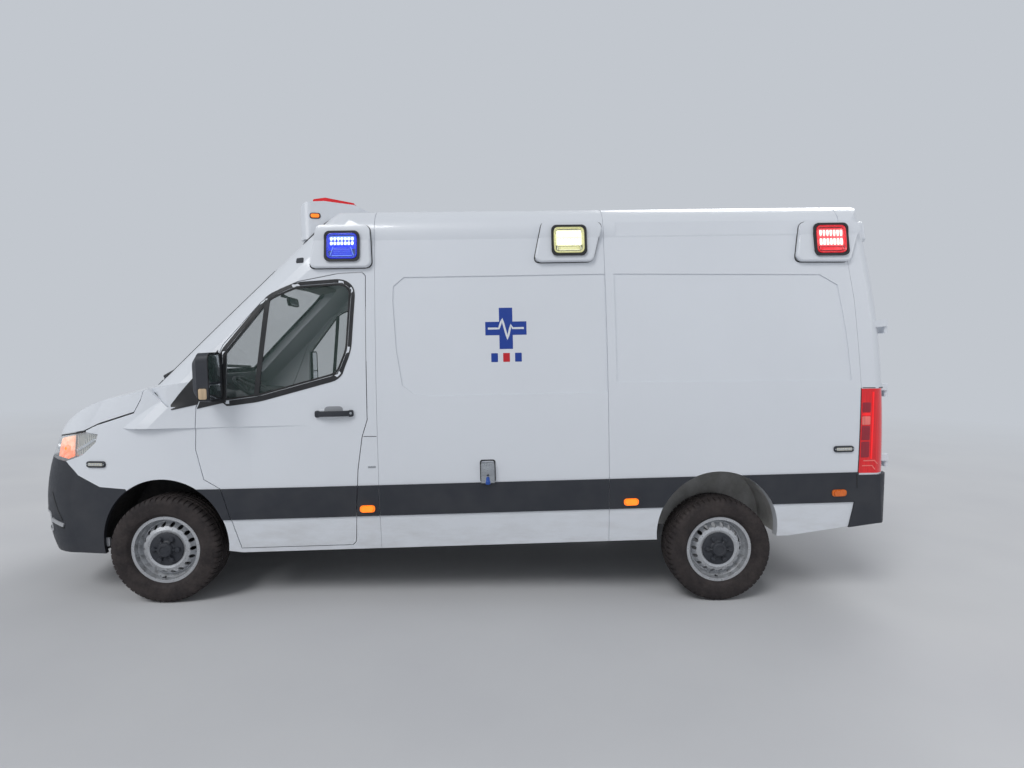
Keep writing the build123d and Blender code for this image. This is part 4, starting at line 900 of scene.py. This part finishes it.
def bumper_side(side, sign):
    """Fog lamp, blade, bracket and sensors of the front bumper."""
    view = on(BARE, "front", (sign * 672, 517))
    piece = Piece(f"fog_lamp_{side}", view, slot="clear_lens")
    piece.block(circle(46, 28), 10, SATIN, 3).block(circle(39, 28), 12.5, CHROME, 1, 9)
    piece.block(circle(34, 28), 16, PEARL, 3, 12).made()
    rim = finer(rectangle(238, 140, 30), 30)
    Piece(f"fog_trim_{side}", view).band(rim, inset(rim, 12), 3.5, GREY_TRIM).made()
    piece = Piece(f"bumper_blade_{side}", on(BARE, side))
    piece.stripe([(700, 503), (760, 520), (806, 534)], 24, 8, GREY_TRIM, step=20)
    piece.stripe([(700, 485), (806, 514)], 10, 4, SATIN, step=20)
    piece.stripe([(708, 530), (745, 600), (790, 720)], 7, 2.2, SATIN, step=20).made()
    foot = flat((436, sign * 872, 388), (-sign, 0, 0), UPRIGHT)
    piece = Piece(f"bumper_bracket_{side}", foot, slot="chassis_metal")
    piece.block(rectangle(86, 60, 12), 0, GREY_TRIM, 3, -16).block(circle(11, 18), 5, STEEL, 2).made()
    sensors("front", "front", side, ((300, sign * 300), (620, sign * 620)), 625)


def front_middle():
    """Intake mesh, blank plate, and the grille's strips and disc."""
    front = on(BARE, "front")
    piece = Piece("intake_mesh", front, slot="grille_plastic")
    for z in (417, 467, 517):
        for y in range(-420, 421, 21):
            piece.stripe([(y, z - 16.5), (y, z + 16.5)], 3.5, 6, SATIN)
    piece.made()
    plate("front_plate", "root", flat((front(0, 645).x + 6, 0, 645), (0, 1, 0), UPRIGHT))
    piece = Piece("grille_strips", front, slot="grille_plastic")
    for z in (865.5, 923, 981, 1038.5):
        for way in (-1, 1):
            piece.stripe([(way * 85, z), (way * 405, z)], 7, 3, CHROME_DARK)
    piece.made()
    disc = [(0, 74), (24, 76), (29, 72), (29, 63), (25, 60), (26, 10)]
    piece = Piece("grille_disc", slot="grille_plastic")
    piece.turned((front(0, 968).x - 20, 0, 968), (1, 0, 0), disc, SATIN, 40).made()


# Pivot, blade's tip and blade's heel
WIPERS = {
    "left": ((640, 1452), (-60, 1492), (560, 1520)),
    "right": ((-100, 1452), (-700, 1490), (-160, 1520)),
}


def cowl():
    piece = Piece("cowl", on(SCREEN, "front"))
    piece.sheet([(-730, 1420.5), (730, 1420.5), (752, 1447.5), (-752, 1447.5)], 5, BLACK, 2, 24)
    for y in range(-690, 691, 30):
        piece.stripe([(y, 1424.5), (y, 1443.5)], 10, 7.2, SATIN, 4)
    piece.made()


def wiper(side, sign):
    front = on(SCREEN, "front")
    pivot, tip, heel = WIPERS[side]
    piece = Piece(f"wiper_{side}", front)
    piece.stripe([heel, tip], 7, 12, SEAL, 1.5, 60).stripe([heel, tip], 16, 19, SATIN, 11, 60)
    middle = ((heel[0] + tip[0]) / 2, (heel[1] + tip[1]) / 2)
    elbow = (pivot[0] * 0.62 + middle[0] * 0.38, pivot[1] * 0.62 + middle[1] * 0.38 + 8)
    arm = [front(*pivot, 4), front(*pivot, 30), front(*elbow, 40), front(*middle, 24), front(*middle, 16)]
    piece.tube(arm, [12, 11, 7.5, 6, 5], SATIN)
    out = front(*pivot, 1) - front(*pivot)
    piece.turned(front(*pivot), out, [(-2, 16), (24, 15), (29, 10), (30, 3)], BLACK, 20).made()


def washer_jet(side, sign):
    seat = on(caster("bonnet"), "above", (310, sign * 300))
    Piece(f"washer_jet_{side}", seat, "bonnet").block(rectangle(30, 22, 7), 9, BLACK, 4).made()


# Roof and rear

def roof_beads():
    piece = Piece("roof_beads", on(BARE, "above"), slot="white_paint")
    for y in range(-600, 601, 240):
        for start, end in ((-1600, -2780), (-3080, -4360)):
            piece.stripe([(start, y), (end, y)], 34, 4.5, WHITE, step=150)
    piece.made()


def gutter_clip(side, sign):
    seat = on(BARE, side, (-921, 2222))
    Piece(f"gutter_clip_{side}", seat).block(rectangle(52, 34, 8), 7, BLACK, 3, -2).made()


def tail_edge(z, behind):
    """A point behind the tail lamp's forward edge at height z."""
    return (-4604 - 22 * (z - 636) / 676 - behind, z)


# Bottom, top and look of the cells in the tail lamp's forward half
TAIL_CELLS = (
    (1150, 1215, DEEP_RED), (1128, 1142, BRIGHT_RED), (1066, 1122, PALE_RED), (962, 1058, DEEP_RED),
    (846, 952, DEEP_RED),
)


def rear_middle():
    """Blank plate and its lamp, high brake lamp and the bumper's step."""
    back = on(BARE, "back")
    plate("rear_plate", "rear_door_left", flat((back(420, 1115).x - 4, 420, 1115), (0, -1, 0), UPRIGHT))
    piece = Piece("rear_plate_lamp", back, "rear_door_left")
    piece.block(rectangle(220, 30, 10, (420, 1208)), 20, BLACK, 6).made()
    piece = Piece("high_brake_lamp", back, slot="red_lens")
    piece.sheet(rectangle(360, 34, 0, (0, 2322)), 7, RED, 2, 8, -2).made()
    piece = Piece("bumper_step_pad", back)
    for i in range(9):
        z = 712 - 12.5 * i
        piece.stripe([(-700, z), (700, z)], 6, 3, SATIN, step=100)
    piece.made()


def rear_side(side, sign):
    """Reflector and sensors of the bumper, and the tail lamp's cells and seal."""
    piece = Piece(f"bumper_reflector_{side}", on(BARE, "back", (sign * 680, 560)), slot="red_lens")
    piece.block(rectangle(110, 36, 8), 5, RED, 2, -2).made()
    sensors("rear", "back", side, ((260, sign * 260), (500, sign * 500)), 600)
    view = on(BARE, side)
    piece = Piece(f"tail_lamp_cells_{side}", view, slot="red_lens")
    for low, high, material in TAIL_CELLS:
        cell = [tail_edge(low, 10), tail_edge(low, 66), tail_edge(high, 66), tail_edge(high, 10)]
        piece.block(rounded(cell, 8), 1.4, material, 0.8)
    # The long reflector and the two lit lines at the foot
    piece.stripe([tail_edge(z, 82) for z in (1285, 1100, 930, 835)], 10, 2.2, BRIGHT_RED)
    piece.stripe([(-4640, 824), (-4716, 824), (-4738, 800)], 7, 2, PALE_RED)
    piece.stripe([(-4632, 790), (-4700, 790), (-4722, 762)], 6, 2, PALE_RED).made()
    piece = Piece(f"tail_lamp_seal_{side}", view)
    piece.stripe([(-4634, 1313.5), (-4800, 1310.5)], 5, 1, SEAL)
    piece.stripe([tail_edge(z, -2) for z in (1312, 1050, 800, 738)], 6, 1.2, SEAL)
    piece.at(on(ALL_PANELS, side)).stripe([(-4594, 735), (-4600, 640)], 6, 1.2, SEAL).made()


# Mirrors, wheels and tyres

def mirror(side, sign):
    door, rim = f"front_door_{side}", rectangle(202, 300, 46)
    piece = Piece(f"mirror_glass_{side}", flat((-440, sign * 1090, 1478), (0, -1, 0), UPRIGHT), door)
    piece.band(rim, inset(rim, 10), 3, SATIN, -2).block(rectangle(178, 172, 30, (0, 52)), 1.4, MIRROR, 1)
    piece.block(rectangle(178, 92, 30, (0, -90)), 1.6, MIRROR, 1).made()
    outer = flat((-405, sign * 1191.2, 1378), (-sign, 0, 0), UPRIGHT)
    piece = Piece(f"mirror_indicator_{side}", outer, door, "amber_lens")
    piece.block(rectangle(60, 80, 14), 1.8, SATIN, 1, -2).block(rectangle(50, 66, 12), 3.2, INDICATOR, 1.2, 1)
    piece.made()
    Piece(f"mirror_line_{side}", outer, door).block(rectangle(62, 3.5, 1, (2, 58)), 1.2, GAP, 0, -2).made()


# Half a tyre's section: distance from its middle, radius, and how deep the gaps between blocks cut in
PLAIN, RIB, BLOCKS = 0, 2.8, 6.5
TYRE_HALF = (
    (0, 350, RIB), (14, 350, RIB), (15, 342.5, PLAIN), (22, 342.5, PLAIN), (23, 349.8, RIB),
    (48, 349.4, RIB), (49, 342, PLAIN), (57, 342, PLAIN), (58, 349, BLOCKS), (85, 347.4, BLOCKS),
    (100, 344, BLOCKS), (108, 338.5, BLOCKS), (112.5, 330, BLOCKS), (114.8, 318, PLAIN), (116.3, 315, PLAIN),
    (116, 300, PLAIN), (117.5, 285, PLAIN), (116.8, 262, PLAIN), (113, 247, PLAIN), (111.8, 241.5, PLAIN),
    (108.5, 237.5, PLAIN), (101, 230, PLAIN), (95, 226, PLAIN), (89, 221.5, PLAIN), (81, 219.5, PLAIN),
)
TREAD_PITCHES = 58
TREAD_SLANT = 0.35
# Where a pitch's block starts and ends, and where the gap behind it does
TREAD_STATIONS = ((0.0, False), (0.74, False), (0.77, True), (0.97, True))


def tyre(end, side, centre):
    """A tyre with ribs, grooves and shoulder blocks, and a plain sidewall with a raised ring."""
    profile = [(-y, radius, cut) for y, radius, cut in TYRE_HALF[:0:-1]] + list(TYRE_HALF)
    loops = []
    for i in range(TREAD_PITCHES):
        for part, gap in TREAD_STATIONS:
            loop = []
            for y, radius, cut in profile:
                shift = TREAD_SLANT if cut == BLOCKS else TREAD_SLANT * abs(y) / 50
                angle = 2 * math.pi * (i + part + shift) / TREAD_PITCHES
                radius -= cut * gap
                loop.append(centre + Vector((radius * math.sin(angle), y, radius * math.cos(angle))))
            loops.append(loop)
    piece = Piece(f"tyre_tread_{end}_{side}", None, f"wheel_{end}_{side}", "tyre_rubber")
    made = piece.loft(loops, RUBBER, closed=True).made(TO_METRES, 0.5)
    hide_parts(f"tyre_{end}_{side}")


HUB_COVER = [(66, 104), (73, 110), (78, 108), (81, 100), (81.5, 58), (88, 50), (104, 46), (109, 41),
             (110, 30), (106, 27), (106, 4)]
BOLT_BUMP = [(79, 17.5), (92, 16), (96.5, 12.5), (97.5, 4)]
BOLT_CIRCLE = 77


def wheel(end, side, sign):
    """The tyre, the hub cover with its bolt bumps, and the valve."""
    centre, axis = sum(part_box(f"tyre_{end}_{side}"), Vector()) / 2 / MM, Vector((0, sign, 0))
    body = f"wheel_{end}_{side}"
    tyre(end, side, centre)
    piece = Piece(f"hub_cover_{end}_{side}", None, body).turned(centre, axis, HUB_COVER, BLACK, 48)
    for i in range(6):
        angle = math.pi * (i + 0.5) / 3
        out = Vector((math.sin(angle), 0, math.cos(angle)))
        piece.turned(centre + out * BOLT_CIRCLE, axis, BOLT_BUMP, BLACK, 18)
        rib = [centre + out * radius + axis * height for radius, height in ((46, 94), (58, 91), (70, 86))]
        piece.tube(rib, [7, 6.5, 5], BLACK, 8)
    piece.made(TO_METRES)
    valve = [centre + Vector((12, sign * y, z)) for y, z in ((70, -187), (84, -183), (104, -179))]
    Piece(f"valve_{end}_{side}", None, body).tube(valve, [6.5, 4.5, 4.2], SATIN, 12).made(TO_METRES)


# Inside the cab

# In metres
PAD_STRETCH = 0.03
PAD_MARGIN = 0.006
PAD_VOXEL = 0.011
PAD_REACH = 0.010

PAD_PRESSURE = 4.0
PAD_STEPS = 20
CHANNEL_DEPTH, CHANNEL_WIDTH = 5.5, 7
ALONG, ACROSS, UP = 0, 1, 2
# Name, side outline as (X, Z), half width, softness of the corners, crown, and channels as (axis, place)
SEAT_PADS = (
    ("cushion", [(-1225, 885), (-705, 885), (-695, 985), (-735, 1004), (-1180, 970), (-1225, 955)],
     250, 45, 30, [(ALONG, -860), (ALONG, -1020)]),
    ("back", [(-1232, 966), (-1138, 966), (-1246, 1555), (-1330, 1594), (-1358, 1566)],
     230, 35, 26, [(UP, 1140), (UP, 1280), (UP, 1420)]),
    ("headrest", [(-1298, 1630), (-1262, 1645), (-1280, 1794), (-1338, 1798), (-1362, 1645)],
     126, 25, 20, []),
)


def padded_form(name, outline, *sizes):
    """A pad across Y with its ends drawn in, built in metres for the remeshing."""
    middle, half, soft, crown = (size / METRE for size in sizes)
    shape = finer(rounded([(u / METRE, v / METRE) for u, v in outline], soft, 4), PAD_STRETCH)
    loops = []
    for step in range(13):
        turn = math.pi * step / 12
        y = middle - math.cos(turn) * half
        rim = inset(shape, crown * (1 - math.sin(turn) ** 0.5) + PAD_MARGIN)
        loops.append([(u, y, v) for u, v in rim])
    return Piece(name, slot="seat_cloth").loft(loops, SEAT_CLOTH).made(LEVEL_METRES)


def stuffed(thing):
    """Fills a pad as sewn cloth swells, each point kept within reach of where it began."""
    scene, view = bpy.context.scene, bpy.context.view_layer
    remesh = thing.modifiers.new("remesh", "REMESH")
    remesh.mode = "VOXEL"
    remesh.voxel_size = PAD_VOXEL
    view.update()
    mesh = bpy.data.meshes.new_from_object(thing.evaluated_get(view.depsgraph))
    thing.modifiers.clear()
    thing.data = mesh
    settings = thing.modifiers.new("cloth", "CLOTH").settings
    settings.use_pressure = True
    settings.uniform_pressure_force = PAD_PRESSURE
    settings.effector_weights.gravity = 0.0
    for step in range(PAD_STEPS):
        scene.frame_set(step + 1)
    swollen = thing.evaluated_get(view.depsgraph).data
    moves = [after.co - before.co for before, after in zip(mesh.vertices, swollen.vertices)]
    thing.modifiers.clear()
    for vertex, move in zip(mesh.vertices, moves):
        vertex.co += move * min(1.0, PAD_REACH / max(move.length, 1e-9))
    scene.frame_set(1)


def sew(thing, channels):
    """Presses sewn channels into a pad."""
    normals = [v.normal.copy() for v in thing.data.vertices]
    for vertex, normal in zip(thing.data.vertices, normals):
        spot = TO_LEVEL @ vertex.co
        press = sum(math.exp(-((spot[axis] - place) / CHANNEL_WIDTH) ** 2) for axis, place in channels)
        vertex.co -= normal * CHANNEL_DEPTH * MM * min(1.0, press)
    for face in thing.data.polygons:
        face.use_smooth = True


def seat(name, y):
    for part, outline, half, soft, crown, channels in SEAT_PADS:
        pad = padded_form(f"seat_{part}_{name}", outline, y, half, soft, crown)
        stuffed(pad)
        sides = [(ACROSS, y + way * half * 0.64) for way in (-1, 1)] if channels else []
        sew(pad, channels + sides)
    base = flat((-970, y, 620), (1, 0, 0), (0, 1, 0))
    piece = Piece(f"seat_base_{name}", base, slot="interior_plastic")
    piece.block(rectangle(415, 375, 30), 262, TRIM, 20, 0)
    for way in (-1, 1):
        piece.at(flat((-1185, y + way * 232, 965), (1, 0, 0), (0, 0, way))).block(circle(50), 18, TRIM, 8, -4)
        piece.tube([(-1322, y + way * 64, 1560), (-1316, y + way * 64, 1680)], 6.5, CHROME)
    made = piece.made()
    if name == "driver":
        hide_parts("cab_seats")


def belt(side, sign):
    run = ((-1395, 838, 1735), (-1398, 852, 1550), (-1400, 866, 1200), (-1400, 870, 800))
    section = ((-23.5, -1), (23.5, -1), (23.5, 1), (-23.5, 1))
    anchor = flat((-1395, sign * 838, 1735), (-sign, 0, 0), UPRIGHT)
    piece = Piece(f"belt_{side}", anchor, slot="seat_cloth")
    piece.loft([[(x + dx, sign * (y + dy), z) for dx, dy in section] for x, y, z in run], BELT)
    piece.block(rectangle(62, 40, 12), 10, TRIM, 4, -6).made()


def dashboard_fittings():
    """Instrument hood, display and vents."""
    dash = caster("dashboard")
    hood = Piece("instrument_hood", on(dash, "above", (-150, 455)), slot="interior_plastic")
    hood.block(rectangle(170, 380, 60), 52, TRIM, 34, -20).made()
    screen = flat((-290, 0, 1318), (0, -1, 0), (0.20, 0, 0.98))
    piece = Piece("centre_display", screen, slot="interior_plastic")
    piece.block(rectangle(275, 165, 14), 0, SATIN, 4, -22)
    piece.block(rectangle(245, 140, 6), 1.2, DISPLAY, 0.6).made()
    piece = Piece("dash_vents", on(dash, "back"), slot="interior_plastic")
    for y in (-800, -160, 160, 800):
        rim = rectangle(125, 72, 16, (y, 1165))
        piece.band(rim, inset(rim, 7), 10, SATIN, -2)
        for i in range(4):
            z = 1144 + 14.5 * i
            piece.stripe([(y - 55, z), (y + 55, z)], 3.5, 7, SATIN)
    piece.block(rectangle(420, 150, 20, (-455, 980)), 6, TRIM, 4, -2).made()


def overhead():
    """Inner mirror and headliner."""
    mount = on(caster("windscreen"), "front")(0, 2085, -10)
    seat_of_glass = flat((mount.x - 100, 0, mount.z - 55), (0, -1, 0), (0.15, 0, 1))
    piece = Piece("cab_mirror", seat_of_glass, slot="interior_plastic")
    piece.block(rectangle(235, 68, 26), 0, SATIN, 7, -22).block(rectangle(215, 54, 22), 1.4, MIRROR, 1)
    stem = [mount, (mount.x - 50, 0, mount.z - 20), (mount.x - 84, 0, mount.z - 50)]
    piece.tube(stem, [16, 8, 8], SATIN, 12).made()
    lining = Piece("headliner", on(caster("roof"), "inner_roof"), slot="interior_plastic")
    lining.sheet(rectangle(425, 1200, 0, (-1172.5, 0)), 12, HEADLINER, 10, 6, -2).made()


DOOR_TRIM = [(-520, 470), (-1200, 470), (-1285, 1050), (-1292, 1268), (-560, 1268), (-425, 1235), (-430, 860)]


def door_lining(side, sign):
    """Sun visor, and the door's inner trim with its armrest, pocket and latch."""
    hook = on(caster("windscreen"), "front")(sign * 400, 2150, -12)
    place = flat((hook.x - 105, sign * 400, hook.z + 10), (0, 1, 0), (1, 0, -0.18))
    piece = Piece(f"sun_visor_{side}", place, slot="interior_plastic")
    piece.block(rectangle(420, 165, 35), 10, HEADLINER, 8, -10)
    piece.tube([(hook.x - 35, sign * y, hook.z) for y in (620, 200)], 7, TRIM).made()
    piece = Piece(f"door_trim_{side}", on(INSIDE, f"inner_{side}"), f"front_door_{side}", "interior_plastic")
    piece.sheet(DOOR_TRIM, 12, TRIM, 12, 10, -2)
    piece.block(rectangle(460, 85, 35, (-960, 1030)), 52, TRIM, 18, 10)
    piece.block(rectangle(560, 150, 40, (-860, 650)), 40, TRIM, 14, 10)
    piece.block(rectangle(90, 36, 15, (-560, 1165)), 26, CHROME, 6, 10).made()


# Stage, light and camera, in metres

CAMERA_AT = Vector((AXLE.x - 2.0945, 4.9474, 1.6835))
CAMERA_YAW = math.radians(2.25)
CAMERA_PITCH = math.radians(3.26)
CAMERA_ROLL = math.radians(0.66)
CAMERA_FOCAL_PX = 608.9
FRAME_WIDTH_PX = 1024
SENSOR_MM = 36.0
BACKDROP = srgb(194, 199, 206)
FLOOR_HALF = 60.0
FADE_START, FADE_END = 5.0, 16.0
# Place, strength and spread in degrees
SUNS = {"key": ((2.6, 4.0, 5.2), 1.15, 24), "rim": ((-3.0, -4.5, 5.0), 0.75, 30)}
# Place, what it faces, and power in watts
LIGHT_PANELS = {
    "front_panel": ((7.0, 5.5, 4.0), (1.5, 0, 1.0), 70),
    "rear_panel": ((-8.0, 5.0, 4.5), (-1.8, 0, 1.3), 60),
}
PANEL_SIZE = (4, 3)


def make_camera():
    level = math.cos(CAMERA_PITCH)
    forward = Vector((-math.sin(CAMERA_YAW) * level, -math.cos(CAMERA_YAW) * level, -math.sin(CAMERA_PITCH)))
    right = Vector((-math.cos(CAMERA_YAW), math.sin(CAMERA_YAW), 0))
    down = forward.cross(right)
    rolled_right = right * math.cos(CAMERA_ROLL) - down * math.sin(CAMERA_ROLL)
    rolled_down = right * math.sin(CAMERA_ROLL) + down * math.cos(CAMERA_ROLL)
    data = bpy.data.cameras.new("camera")
    data.sensor_width = SENSOR_MM
    data.lens = CAMERA_FOCAL_PX / FRAME_WIDTH_PX * SENSOR_MM
    camera = bpy.data.objects.new("camera", data)
    bpy.context.scene.collection.objects.link(camera)
    axes = Matrix((rolled_right, -rolled_down, -forward)).transposed()
    camera.matrix_world = Matrix.Translation(CAMERA_AT) @ axes.to_4x4()
    bpy.context.scene.camera = camera


def make_stage():
    """A pale floor that fades into the backdrop's colour."""
    mesh = bpy.data.meshes.new("floor")
    corners = [(x * FLOOR_HALF, y * FLOOR_HALF, 0) for x, y in ((-1, -1), (1, -1), (1, 1), (-1, 1))]
    mesh.from_pydata(corners, [], [(0, 1, 2, 3)])
    floor = bpy.data.objects.new("floor", mesh)
    bpy.context.scene.collection.objects.link(floor)
    m = Nodes("floor_pale", Roughness=0.9, Specular_IOR_Level=0.1)
    m.shade(Base_Color=m.mix(m.uneven(0.8, 4.0), srgb(203, 204, 206), srgb(197, 198, 201)))
    squares = [m.math("MULTIPLY", m.axis(name), m.axis(name)) for name in "XY"]
    faded = m.span(m.math("SQRT", m.math("ADD", *squares)), FADE_START, FADE_END)
    glow = m.add("Emission", "Emission", {"Color": BACKDROP})
    blend = m.add("MixShader", "Shader", {"Fac": faded, 1: m.shader.outputs["BSDF"], 2: glow})
    feed(m.tree, m.tree.nodes["Material Output"].inputs["Surface"], blend)
    mesh.materials.append(m.material)


def add_light(name, kind, at, look):
    data = bpy.data.lights.new(name, kind)
    light = bpy.data.objects.new(name, data)
    bpy.context.scene.collection.objects.link(light)
    light.location = at
    light.rotation_euler = (Vector(look) - Vector(at)).to_track_quat("-Z", "Y").to_euler()
    return data


def make_light():
    world = bpy.data.worlds.new("studio")
    bpy.context.scene.world = world
    world.use_nodes = True
    tree = world.node_tree
    ambient = tree.nodes["Background"]
    feed(tree, ambient.inputs["Color"], (0.90, 0.94, 1.0, 1.0))
    feed(tree, ambient.inputs["Strength"], 0.42)
    seen = add_node(tree, "LightPath", "Is Camera Ray", {})
    for ray in ("Is Glossy Ray", "Is Transmission Ray"):
        other = add_node(tree, "LightPath", ray, {})
        seen = add_node(tree, "Math", "Value", {0: seen, 1: other}, operation="MAXIMUM")
    backdrop = add_node(tree, "Background", "Background", {"Color": BACKDROP})
    inputs = {"Fac": seen, 1: ambient.outputs["Background"], 2: backdrop}
    blend = add_node(tree, "MixShader", "Shader", inputs)
    feed(tree, tree.nodes["World Output"].inputs["Surface"], blend)
    for name, (at, strength, spread) in SUNS.items():
        data = add_light(name, "SUN", at, (0, 0, 0))
        data.energy = strength
        data.angle = math.radians(spread)
    for name, (at, look, power) in LIGHT_PANELS.items():
        data = add_light(name, "AREA", at, look)
        data.shape = "RECTANGLE"
        data.size, data.size_y = PANEL_SIZE
        data.energy = power


dress_nodes()
for dress in (door_windows, rear_windows, door_fittings, strobes_and_markers, side_lamps, pod_gaskets,
              fairing_lamps, headlamp, wing_tip, bumper_side, wiper, washer_jet, gutter_clip, rear_side,
              mirror, belt, door_lining):
    for side, sign in SIDES:
        dress(side, sign)
for dress in (middle_windows, middle_handles, filler_panel, inlet, emblem, fairing_seal, front_middle, cowl,
              roof_beads, rear_middle, dashboard_fittings, overhead, make_camera, make_stage, make_light):
    dress()
for end in ("front", "rear"):
    for side, sign in SIDES:
        wheel(end, side, sign)
seat("driver", 455)
seat("passenger", -455)

bpy.context.scene.view_settings.view_transform = "Standard"
